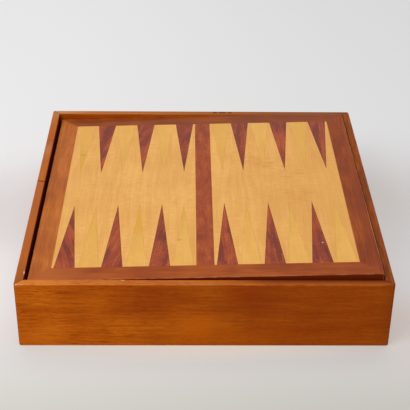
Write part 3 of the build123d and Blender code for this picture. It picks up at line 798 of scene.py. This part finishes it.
def baize():
    """Woollen cloth: short crossing fibres, nap and worn patches."""
    cloth = Finish("green baize", 0.95, 0.03, {"Sheen Weight": 0.25, "Sheen Roughness": 0.6})
    at = box_place(cloth)
    weft = lines(at.crossed(), 4, 0.6, 2, 72.0)
    fibres = lines(at, 4, 0.6, 2, 71.0).weighed(0.5, weft * 0.5)
    level = fibres.weighed(0.6, patches(at, 45, 73.0) * 0.4)
    return cloth.lay(level.blend((28, 78, 44), (58, 118, 70)), None, fibres, 0.4 * MM, 0.7)


green_baize = baize()
dress("baize_lining", green_baize)

CUP_FELT = 22.8 * MM  # felt lies inside this radius of a dice cup


def cup_leather(name, axle, turn):
    """Grained leather outside and cloth inside. The cup's axis runs along X through axle."""
    leather = Finish(name, gloss=0.35)
    at = box_place(leather).seen_from(axle, turn)
    _, y, z = at.parts()
    from_axis = leather.join(0.0, y, z).math("LENGTH")
    felt = from_axis.span(CUP_FELT + 0.3 * MM, CUP_FELT)
    grain = {"Vector": at, "Scale": 900.0, "Randomness": 1.0}
    pebble = leather.node("TexVoronoi", grain, "Distance").span(0.0, 0.75)
    hide = patches(at, 18, 74.0).blend((70, 34, 20), (104, 54, 30))
    hide = (pebble * 0.5).blend(hide, (44, 20, 12))
    rubbed = patches(at, 6, 75.0) * from_axis.span(CUP_FELT + 3.4 * MM, CUP_FELT + 3.8 * MM)
    hide = (rubbed * 0.5).blend(hide, (146, 88, 54))
    nap = at.noise(7.0, 2200, 2)
    cloth = nap.blend((34, 74, 44), (56, 104, 62))
    return leather.lay(felt.blend(hide, cloth), felt.weighed(0.4, 0.5), nap - pebble, 0.25 * MM, 0.5)


def cup_axle(node):
    """The middle of a dice cup, and the turn that lays its axis along X."""
    low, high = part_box(node)
    along_x = high.x - low.x > high.y - low.y
    return (low + high) / 2, (0, 0, 0 if along_x else QUARTER)


for cup in ("dice_cup_front", "dice_cup_back"):
    dress(cup, cup_leather(cup.replace("_", " "), *cup_axle(cup)))


def plastic(name, base, cloud, rough=(0.16, 0.34)):
    """Polished plastic with soft clouds in it and dull, rubbed places."""
    made = Finish(name, gloss=0.5)
    at = box_place(made)
    colour = (patches(at, 9, 76.0) * 0.6).blend(base, cloud)
    rubbed = patches(at, 4, 77.0)
    return made.lay(colour, rubbed.span(0.0, 1.0, *rough), rubbed, 0.03 * MM, 0.3)


ivory = plastic("ivory plastic", (238, 228, 200), (222, 204, 160))
ebony = plastic("black plastic", (34, 31, 31), (52, 44, 40))
pip_black = plastic("black paint", (26, 24, 26), (46, 42, 42), rough=(0.4, 0.6))
pip_white = plastic("white paint", (232, 228, 214), (208, 200, 180), rough=(0.4, 0.6))
for node in ("dice_light", "doubling_cube"):
    dress(node, ivory)
dress("dice_dark", ebony)

# ---- Stones, men and dominoes ----

boxwood = ((232, 196, 132), (220, 178, 110), (204, 158, 88), (160, 112, 60))
rosewood = ((108, 54, 34), (80, 36, 22), (54, 22, 14), (28, 11, 8))
stones_low, stones_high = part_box("stones_light")
STONES = 15
stone_pitch = (stones_high.y - stones_low.y + 0.1 * MM) / STONES
RING_INNER, RING_OUTER = 6.3 * MM, 7.5 * MM  # the turned ring's radii


def stone_place(node):
    """The place and the marks of a row of stones along Y. Each stone is cut from its own piece of
    wood, whose grain crosses it in a direction of its own."""
    low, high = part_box(node)
    axle = Vector(((low.x + high.x) / 2, stones_low.y, (low.z + high.z) / 2))

    def place(bench):
        at = box_place(bench).seen_from(axle)
        number = (at.parts()[1] / stone_pitch).math("FLOOR")
        return at.spun(number * 2.4, "Y") + bench.join(number * 0.7, 0.0, 0.0)

    def marks(at, colour):
        here = box_place(at.bench).seen_from(axle)
        x, _, z = here.parts()
        chance = cells(here, size=(1.0, stone_pitch, 1.0), seed=8.0)
        colour = (chance * 0.45).blend(colour, at.bench.mix(0.5, colour, (60, 24, 8)))
        from_axis = at.bench.join(x, 0.0, z).math("LENGTH")
        ring = from_axis.span(RING_INNER - 0.1 * MM, RING_INNER)
        ring *= from_axis.span(RING_OUTER + 0.1 * MM, RING_OUTER)
        return (ring * 0.6).blend(colour, (52, 20, 8))

    return place, marks


for node, tints, seed in (("stones_light", boxwood, 60.0), ("stones_dark", rosewood, 61.0)):
    place, marks = stone_place(node)
    dress(node, timber(node.replace("_", " "), place, tints, streak=(14, 0.7), pore=(2, 0.3), seed=seed,
                       patch=9, rough=(0.22, 0.36), gloss=0.4, marks=marks))

RANKS = ("king", "queen", "bishops", "knights", "rooks", "pawns")
FILES = 8
BASE_SHARE = 22.0 / 32.25  # of a file's width, taken by a rook's base
men_low, men_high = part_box("rooks_light")
file_width = (men_high.x - men_low.x) / (FILES - 1 + BASE_SHARE)
man_cell = (file_width, 54 * MM, 1.0)


def man_place(bench):
    """X runs from the front to the back, as the men lie, and each is cut from his own piece."""
    return own_piece(box_crosswise(bench), cells(box_place(bench), size=man_cell, seed=9.0))


def man_marks(deep):
    """Each man a little darker or paler, with darker, rubbed patches."""

    def marks(at, colour):
        here = box_place(at.bench)
        colour = (cells(here, size=man_cell, seed=10.0) * 0.35).blend(colour, deep)
        return (patches(here, 7, 11.0) * 0.25).blend(colour, deep)

    return marks


men = {}
for wood, tints, deep in (("light", boxwood, (186, 134, 74)), ("dark", rosewood, (40, 15, 10))):
    men[wood] = timber(wood + " men", man_place, tints, streak=(18, 0.6), pore=(2.5, 0.3), seed=62.0,
                       patch=10, rough=(0.24, 0.4), gloss=0.4, marks=man_marks(deep))
    for rank in RANKS:
        dress(rank + "_" + wood, men[wood])

beech = ((206, 150, 88), (190, 132, 70), (172, 114, 56), (128, 78, 36))
dress("domino_box", timber("domino box", box_place, beech, streak=(30, 0.9), pore=(3, 0.4), seed=63.0,
                           patch=40))
dress("domino_lid", timber("domino lid", box_place, beech, streak=(44, 0.8), pore=(3, 0.4), seed=64.0,
                           patch=30))
dress("dominoes", ebony)


# ======== Pieces that this file adds ========


def new_piece(name, shape, materials, body="box", smooth=True):
    """A piece of a finished bmesh, which rides on a body and takes its finish from a slot."""
    mesh = bpy.data.meshes.new(name)
    shape.to_mesh(mesh)
    shape.free()
    for material in materials:
        mesh.materials.append(material)
    for face in mesh.polygons:
        face.use_smooth = smooth
    piece = bpy.data.objects.new(name, mesh)
    bpy.context.scene.collection.objects.link(piece)
    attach(piece, body)
    return piece


def pattern_of(shape):
    """The corners and faces of a finished bmesh, for copies of it."""
    shape.verts.index_update()
    corners = [vertex.co.copy() for vertex in shape.verts]
    faces = [[vertex.index for vertex in face.verts] for face in shape.faces]
    shape.free()
    return corners, faces


def add_pattern(shape, corners, faces, place):
    """One copy of a pattern, laid by a matrix."""
    made = [shape.verts.new(place @ corner) for corner in corners]
    for face in faces:
        shape.faces.new([made[index] for index in face])


def solids_of(node):
    """A node's mesh and its separate solids, each a list of faces."""
    shape = bmesh.new()
    shape.from_mesh(nodes[node].data)
    bmesh.ops.remove_doubles(shape, verts=shape.verts, dist=0.001 * MM)
    shape.faces.index_update()
    solids = []
    seen = set()
    for first in shape.faces:
        if first.index in seen:
            continue
        seen.add(first.index)
        solid = [first]
        for face in solid:
            for beyond in [other for edge in face.edges for other in edge.link_faces]:
                if beyond.index not in seen:
                    seen.add(beyond.index)
                    solid.append(beyond)
        solids.append(solid)
    return shape, solids


def paint_dents(name, node, dents_of, material):
    """A skin of paint in the dents of a node. dents_of picks them from one solid's faces."""
    shape, solids = solids_of(node)
    dents = {face.index for solid in solids for face in dents_of(solid)}
    rest = [face for face in shape.faces if face.index not in dents]
    bmesh.ops.delete(shape, geom=rest, context="FACES")
    piece = new_piece(name, shape, [material])
    skin = piece.modifiers.new("skin", "SOLIDIFY")
    skin.thickness = 0.12 * MM
    skin.offset = 0.0


def upright_face(solid, slope):
    """The broadest face of a solid whose normal rises less than that."""
    return max((face for face in solid if abs(face.normal.z) < slope), key=lambda face: face.calc_area())


def die_pips(solid):
    """The faces of a die's dents: inside its flat faces and clear of its rounded edges."""
    low, high = corners_of([vertex.co for face in solid for vertex in face.verts])
    middle = (low + high) / 2
    half = (high.z - low.z) / 2
    out = upright_face(solid, 0.1).normal
    back = Matrix.Rotation(-math.atan2(out.y, out.x), 3, "Z")
    pips = []
    for face in solid:
        reach = sorted(abs(value) for value in back @ (face.calc_center_median() - middle))
        if reach[2] < half - 0.02 * MM and reach[1] < 0.72 * half:
            pips.append(face)
    return pips


def domino_spots(solid):
    """The slanting faces of a tile are those of its spots."""
    return [face for face in solid if 0.2 < face.normal.z < 0.9999]


paint_dents("pips_of_light_dice", "dice_light", die_pips, pip_black)
paint_dents("pips_of_dark_dice", "dice_dark", die_pips, pip_white)
paint_dents("spots_of_dominoes", "dominoes", domino_spots, pip_white)


def cube_numbers():
    """The doubling cube's numbers, engraved and filled: 64 on top."""
    low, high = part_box("doubling_cube")
    middle = (low + high) / 2
    half = (high.x - low.x) / 2
    faces = {
        "64": ((0, 0, 1), (0, 1, 0)),
        "2": ((0, -1, 0), (0, 0, 1)),
        "4": ((1, 0, 0), (0, 0, 1)),
        "8": ((0, 1, 0), (0, 0, 1)),
        "16": ((-1, 0, 0), (0, 0, 1)),
        "32": ((0, 0, -1), (0, 1, 0)),
    }
    shape = bmesh.new()
    for digits, (out, up) in faces.items():
        out, up = Vector(out), Vector(up)
        turn = Matrix((up.cross(out), up, out)).transposed().to_4x4()
        lettering = bpy.data.curves.new("digits", "FONT")
        lettering.body = digits
        lettering.align_x = "CENTER"
        lettering.align_y = "CENTER"
        lettering.size = 11 * MM
        lettering.offset = 0.12 * MM
        lettering.extrude = 0.1 * MM
        lettering.resolution_u = 4
        holder = bpy.data.objects.new("digits", lettering)
        mesh = bpy.data.meshes.new_from_object(holder)
        mesh.transform(Matrix.Translation(middle + out * (half - 0.05 * MM)) @ turn)
        shape.from_mesh(mesh)
        bpy.data.objects.remove(holder)
        bpy.data.curves.remove(lettering)
        bpy.data.meshes.remove(mesh)
    bmesh.ops.remove_doubles(shape, verts=shape.verts, dist=0.001 * MM)
    new_piece("cube_numbers", shape, [pip_black], smooth=False)


cube_numbers()

# ---- Playing cards: two decks ----

CARD_X, CARD_Y = 88 * MM, 57 * MM
CARD_CORNER = 3 * MM
CARDS_PER_DECK = 52
CORNER_STEPS = 4
LATTICE = 2.1 * MM  # half the pitch of the lattice on the backs
card_slip = random.Random(52)


def card_outline():
    """The outline of a card about its middle."""
    outline = []
    for n, (right, back) in enumerate(((1, 1), (-1, 1), (-1, -1), (1, -1))):
        x = right * (CARD_X / 2 - CARD_CORNER)
        y = back * (CARD_Y / 2 - CARD_CORNER)
        for step in range(CORNER_STEPS + 1):
            turn = (n + step / CORNER_STEPS) * QUARTER
            outline.append((x + CARD_CORNER * math.cos(turn), y + CARD_CORNER * math.sin(turn)))
    return outline


def add_tube(shape, rings, end_index=0):
    """A closed tube through rings of corners. Its last end may take a finish of its own."""
    rings = [[shape.verts.new(corner) for corner in ring] for ring in rings]
    shape.faces.new(rings[0][::-1])
    shape.faces.new(rings[-1]).material_index = end_index
    for below, above in zip(rings, rings[1:]):
        for n in range(len(below)):
            after = (n + 1) % len(below)
            shape.faces.new((below[n], below[after], above[after], above[n]))


def card_back(name, middle, ink):
    """A plain lattice inside a frame line, on a pale border."""
    back = Finish(name, 0.38, 0.4)
    at = box_place(back).seen_from(middle)
    x, y, _ = at.parts()
    inset = (CARD_X / 2 - abs(x)).math("MINIMUM", CARD_Y / 2 - abs(y))

    def folded(along):
        return abs(along.math("WRAP", LATTICE, -LATTICE))

    lattice = 0.0
    for along in (x + y, x - y):
        lattice = back.math("MAXIMUM", lattice, folded(along).span(0.42 * MM, 0.28 * MM))
    diamond = folded(x) + folded(y)
    lattice = lattice.math("MAXIMUM", diamond.span(0.75 * MM, 0.6 * MM))
    lattice *= inset.span(5.4 * MM, 5.6 * MM)
    frame_line = inset.span(4.8 * MM, 4.95 * MM) * inset.span(5.5 * MM, 5.35 * MM)
    border = 1.0 - inset.span(3.9 * MM, 4.1 * MM)
    pale = border.math("MAXIMUM", frame_line).math("MAXIMUM", lattice)
    paper = (patches(at, 30, 78.0) * 0.6).blend((236, 230, 214), (216, 206, 184))
    linen = back.node("TexMagic", {"Vector": at, "Scale": 2400.0}, "Fac")
    return back.lay(pale.blend(ink, paper), None, linen, 0.04 * MM, 0.3)


def playing_cards():
    """Two decks of cards, each a little untidy, in place of the two plain blocks."""
    low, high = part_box("card_decks")
    thickness = (high.z - low.z) / CARDS_PER_DECK
    half_card = Vector((CARD_X / 2, CARD_Y / 2, 0))
    edges = Finish("card edges", 0.6, 0.2)
    soil = patches(box_place(edges), 12, 79.0)
    materials = [edges.lay(soil.blend((232, 226, 210), (206, 196, 172)))]
    shape = bmesh.new()
    for name, middle, ink in (
        ("red card backs", low + half_card, (150, 34, 34)),
        ("blue card backs", Vector((high.x, low.y + CARD_Y, low.z)) - half_card, (38, 62, 118)),
    ):
        materials.append(card_back(name, middle, ink))
        for n in range(CARDS_PER_DECK):
            last = n == CARDS_PER_DECK - 1
            slip_x, slip_y = (0, 0) if last else [card_slip.gauss(0, 0.22 * MM) for _ in range(2)]
            turn = 0 if last else card_slip.gauss(0, math.radians(0.12))
            outline = [Matrix.Rotation(turn, 2) @ Vector(point) for point in card_outline()]
            base = low.z + n * thickness
            rings = [[(middle.x + slip_x + p.x, middle.y + slip_y + p.y, level) for p in outline]
                     for level in (base, base + thickness * 0.82)]
            add_tube(shape, rings, len(materials) - 1)
    piece = new_piece("playing_cards", shape, materials, smooth=False)
    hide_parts("card_decks")


playing_cards()

# ---- Felt under the men ----


def bases_of(node):
    """The middle of each man's base, the way it faces and its radius. A base is his broadest
    upright flat face, which lies in several triangles."""
    shape, solids = solids_of(node)
    bases = []
    for solid in solids:
        broad = upright_face(solid, 0.5)
        out = broad.normal.copy()
        level = broad.verts[0].co.dot(out)
        corners = [vertex.co for face in solid if face.normal.dot(out) > 0.9999 for vertex in face.verts]
        corners = [corner for corner in corners if abs(corner.dot(out) - level) < 0.02 * MM]
        low, high = corners_of(corners)
        middle = (low + high) / 2
        bases.append((middle, out, max((corner - middle).length for corner in corners)))
    shape.free()
    return bases


def felt_pads(name, ranks):
    """A disc of felt under each man."""
    shape = bmesh.new()
    for middle, out, radius in [base for rank in ranks for base in bases_of(rank)]:
        turn = out.to_track_quat("Z", "Y").to_matrix().to_4x4()
        place = Matrix.Translation(middle + out * 0.2 * MM) @ turn
        felt = radius * 0.93
        bmesh.ops.create_cone(shape, cap_ends=True, segments=36, radius1=felt, radius2=felt - 0.2 * MM,
                              depth=0.5 * MM, matrix=place)
    new_piece(name, shape, [green_baize], smooth=False)


for wood in ("light", "dark"):
    felt_pads("felt_of_" + wood + "_men", [rank + "_" + wood for rank in RANKS])

# ---- Carved knights, in place of the plain ones ----

# A knight stands on his base, facing X, in millimetres. Each cut through his head has a corner on
# the side of the mane, one on the side of the throat, and half its width.
KNIGHT_CUTS = (
    ((-7.2, 8.2), (7.0, 8.2), 5.4),
    ((-7.6, 10.6), (6.6, 10.4), 5.3),
    ((-8.2, 16), (3.9, 15), 4.9),
    ((-8.3, 22), (1.9, 21), 4.6),
    ((-8.0, 28), (1.6, 24.6), 4.3),
    ((-6.8, 33.6), (2.0, 25.6), 4.1),
    ((-4.4, 38.2), (2.7, 25.2), 4.1),
    ((-0.6, 40.0), (3.6, 24.6), 4.2),
    ((3.2, 37.8), (5.0, 25.0), 3.5),
    ((6.0, 33.9), (6.4, 26.1), 2.6),
    ((8.3, 31.1), (7.5, 25.6), 2.3),
    ((10.0, 29.3), (8.7, 24.9), 2.6),
    ((10.5, 27.7), (9.8, 25.6), 1.9),
)
# The radius and level of each ring of his turned foot.
KNIGHT_FOOT = ((10.7, 0), (11, 0.3), (11, 0.6), (11, 3.8), (11, 4.1), (10.7, 4.4), (9.0, 4.4), (8.8, 4.5),
               (8.0, 5.4), (7.6, 6.6), (7.6, 7.8), (8.1, 8.3), (8.1, 8.9), (7.6, 9.2))
KNIGHT_SIDES = 16  # corners round each cut
LOCKS = 12  # of the mane
# The place and half sizes of the beads on each side of his head: cheek, eye and nostril.
HEAD_BEADS = (
    ((2.2, 2.9, 29.0), (3.2, 1.9, 3.4)),
    ((1.9, 3.7, 35.0), (1.0, 0.9, 0.85)),
    ((9.3, 2.1, 28.4), (0.7, 0.6, 0.6)),
)


def add_bead(shape, middle, half, turn=0.0):
    """A small egg of those half sizes, turned about Y."""
    place = Matrix.Translation(middle) @ Matrix.Rotation(turn, 4, "Y") @ Matrix.Diagonal((*half, 1))
    bmesh.ops.create_uvsphere(shape, u_segments=8, v_segments=6, radius=1, matrix=place)


def knight_pattern():
    """One knight in millimetres: a turned foot, neck and head, mane, ears, cheeks, eyes, nostrils."""
    shape = bmesh.new()
    angles = [n / KNIGHT_SIDES * 2 * math.pi for n in range(KNIGHT_SIDES)]
    add_tube(shape, [[(radius * math.cos(a), radius * math.sin(a), z) for a in angles]
                     for radius, z in KNIGHT_FOOT])
    cuts = []
    for (mane_x, mane_z), (throat_x, throat_z), half_width in KNIGHT_CUTS:
        middle = Vector(((mane_x + throat_x) / 2, 0, (mane_z + throat_z) / 2))
        reach = Vector((mane_x, 0, mane_z)) - middle
        cuts.append([middle + reach * math.cos(a) + Vector((0, half_width * math.sin(-a), 0))
                     for a in angles])
    add_tube(shape, cuts)
    crest = [Vector((mane[0], 0, mane[1])) for mane, *_ in KNIGHT_CUTS[1:8]]
    for n in range(LOCKS):
        along = n / (LOCKS - 1) * (len(crest) - 1.001)
        at, beyond = crest[int(along)], crest[int(along) + 1]
        way = beyond - at
        add_bead(shape, at.lerp(beyond, along % 1), (1.5, 1.4, 2.1), math.atan2(way.x, way.z) - 0.5)
    for side in (-1, 1):
        ear = Matrix.Translation((-1.9, side * 1.9, 40.6)) @ Matrix.Rotation(-0.25, 4, "Y")
        bmesh.ops.create_cone(shape, cap_ends=True, segments=8, radius1=1.35, radius2=0.3, depth=4.4,
                              matrix=ear)
        for (x, y, z), half in HEAD_BEADS:
            add_bead(shape, (x, side * y, z), half)
    return pattern_of(shape)


def carved_knights(wood):
    """Two knights of one wood, each on the base of the plain one that he replaces."""
    node = "knights_" + wood
    corners, faces = knight_pattern()
    shape = bmesh.new()
    for middle, out, radius in bases_of(node):
        up = -out
        facing = Vector((up.y, -up.x, 0)).normalized()
        turn = Matrix((facing, up.cross(facing), up)).transposed().to_4x4()
        add_pattern(shape, corners, faces, Matrix.Translation(middle) @ turn @ Matrix.Scale(MM, 4))
    piece = new_piece("carved_" + node, shape, [men[wood]])
    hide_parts(node)
    rounded = piece.modifiers.new("rounded", "SUBSURF")
    rounded.levels = rounded.render_levels = 1


carved_knights("light")
carved_knights("dark")

# ---- Stitches on the dice cups ----

STITCHES = 64
STITCH_ROWS = (2.2 * MM, 6.8 * MM)  # from each end of a cup
STITCH_HALF = (0.32 * MM, 0.95 * MM, 0.26 * MM)  # along the cup, along the thread, outward


def one_stitch():
    """The corners and faces of one stitch about its own middle."""
    shape = bmesh.new()
    bmesh.ops.create_uvsphere(shape, u_segments=8, v_segments=5, radius=1,
                              matrix=Matrix.Diagonal((*STITCH_HALF, 1)))
    return pattern_of(shape)


def cup_stitches():
    """Waxed thread round both bands of each dice cup."""
    thread = Finish("waxed thread", 0.6, 0.25)
    twist = box_place(thread).noise(12.0, 1800, 1)
    material = thread.lay(twist.blend((196, 150, 92), (226, 190, 130)), None, twist, 0.1 * MM, 0.5)
    shape = bmesh.new()
    corners, faces = one_stitch()
    for cup in ("dice_cup_front", "dice_cup_back"):
        middle, turn = cup_axle(cup)
        low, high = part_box(cup)
        radius = (high.z - low.z) / 2
        half_length = max(high.x - low.x, high.y - low.y) / 2
        lay = Matrix.Translation(middle) @ Matrix.Rotation(turn[2], 4, "Z")
        slant = Matrix.Rotation(math.radians(12), 4, "Z")
        for end, row, n in itertools.product((-1, 1), STITCH_ROWS, range(STITCHES)):
            round_axis = Matrix.Rotation(n / STITCHES * 2 * math.pi, 4, "X")
            out = Matrix.Translation((end * (half_length - row), 0, radius - 0.12 * MM))
            add_pattern(shape, corners, faces, lay @ round_axis @ out @ slant)
    new_piece("cup_stitches", shape, [material])


cup_stitches()


# ======== Studio ========


def studio_floor():
    """A wide round sheet of pale paper under the box, a little bright of itself where it is seen, which
    softens the box's shadow on it. Its colour holds painted light: paler on the left and darker to the
    right, painted shade beside the box, and a warm painted reflection just in front of it. It is also
    darker towards the front."""
    mesh = bpy.data.meshes.new("paper")
    sheet = bmesh.new()
    bmesh.ops.create_circle(sheet, cap_ends=True, radius=9.0, segments=96)
    sheet.to_mesh(mesh)
    sheet.free()
    paper = bpy.data.objects.new("paper", mesh)
    bpy.context.scene.collection.objects.link(paper)
    plain = Finish("paper", 0.9, 0.0)
    x, y, _ = box_place(plain).parts()
    at = plain.join(x, y, 0.0)
    # painted light: paler on the left and darker to the right, as the light falls off from the left
    colour = x.span(-0.35, 0.35).blend((230, 229, 229), (219, 218, 218))
    # darker towards the front
    near = x.span(-0.3, 0.3).blend((206, 203, 196), (191, 187, 180))
    colour = spots(
        at, y.span(-0.1, -0.31).blend(colour, near),
        # painted shade beside the box: darker places at its left, at its right and at its right front
        ((214, 210, 209), (-250, 70, 0), (190, 150, 10), 0.95),
        ((205, 201, 198), (250, 80, 0), (190, 190, 10), 0.95),
        ((211, 198, 190), (240, -150, 0), (160, 110, 10), 0.8),
    )
    # a warm painted reflection of the lit front side on the paper just in front of it
    colour = spots(at, colour, ((240, 226, 212), (0, -170, 0), (230, 34, 10), 0.8), ragged=0.1)
    mesh.materials.append(plain.lay(colour))
    light = plain.node("LightPath", {}, "Is Camera Ray")
    seen = light.math("MAXIMUM", light.other("Is Glossy Ray"))
    glow = plain.node("Emission", {"Color": colour, "Strength": 1.0})
    both = plain.node("MixShader", {0: seen * PAPER_GLOW, 1: plain.shader, 2: glow})
    plain.feed(plain.surface, both)


def studio_lamp(name, place, target, width, height, power, colour):
    lamp = bpy.data.lights.new(name, "AREA")
    lamp.shape = "RECTANGLE"
    lamp.size = width
    lamp.size_y = height
    lamp.energy = power
    lamp.color = colour
    holder = bpy.data.objects.new(name, lamp)
    holder.location = place
    holder.rotation_euler = (Vector(target) - Vector(place)).to_track_quat("-Z", "Y").to_euler()
    bpy.context.scene.collection.objects.link(holder)


def studio_light():
    world = bpy.data.worlds.new("studio")
    bpy.context.scene.world = world
    world.use_nodes = True
    bench = Bench(world.node_tree)
    world.node_tree.nodes.clear()
    air = bench.node("Background", {"Color": (0.98, 0.99, 1.0, 1), "Strength": 0.6})
    bench.feed(world.node_tree.nodes.new("ShaderNodeOutputWorld").inputs["Surface"], air)
    studio_lamp("left window", (-1.3, -1.0, 1.6), (0, 0, 0.03), 1.4, 1.2, 22, (1.0, 0.99, 0.97))
    studio_lamp("overhead", (0.1, 0.4, 1.9), (0, 0, 0.05), 1.6, 1.2, 12, (1.0, 1.0, 1.0))


def camera():
    down, right = math.radians(CAMERA_DOWN), math.radians(CAMERA_RIGHT)
    ahead = Vector((math.sin(right) * math.cos(down), math.cos(right) * math.cos(down), -math.sin(down)))
    level = ahead.cross(Vector((0, 0, 1))).normalized()
    side = Matrix.Rotation(-math.radians(CAMERA_ROLL), 3, ahead) @ level
    turn = Matrix((side, side.cross(ahead), -ahead)).transposed()
    made = bpy.data.cameras.new("camera")
    made.sensor_width = SENSOR
    made.lens = FOCAL_LENGTH / IMAGE_WIDTH * SENSOR
    holder = bpy.data.objects.new("camera", made)
    holder.matrix_world = Matrix.Translation(CAMERA_PLACE) @ turn.to_4x4()
    bpy.context.scene.collection.objects.link(holder)
    bpy.context.scene.camera = holder


studio_floor()
studio_light()
camera()
bpy.context.scene.view_settings.view_transform = "Standard"
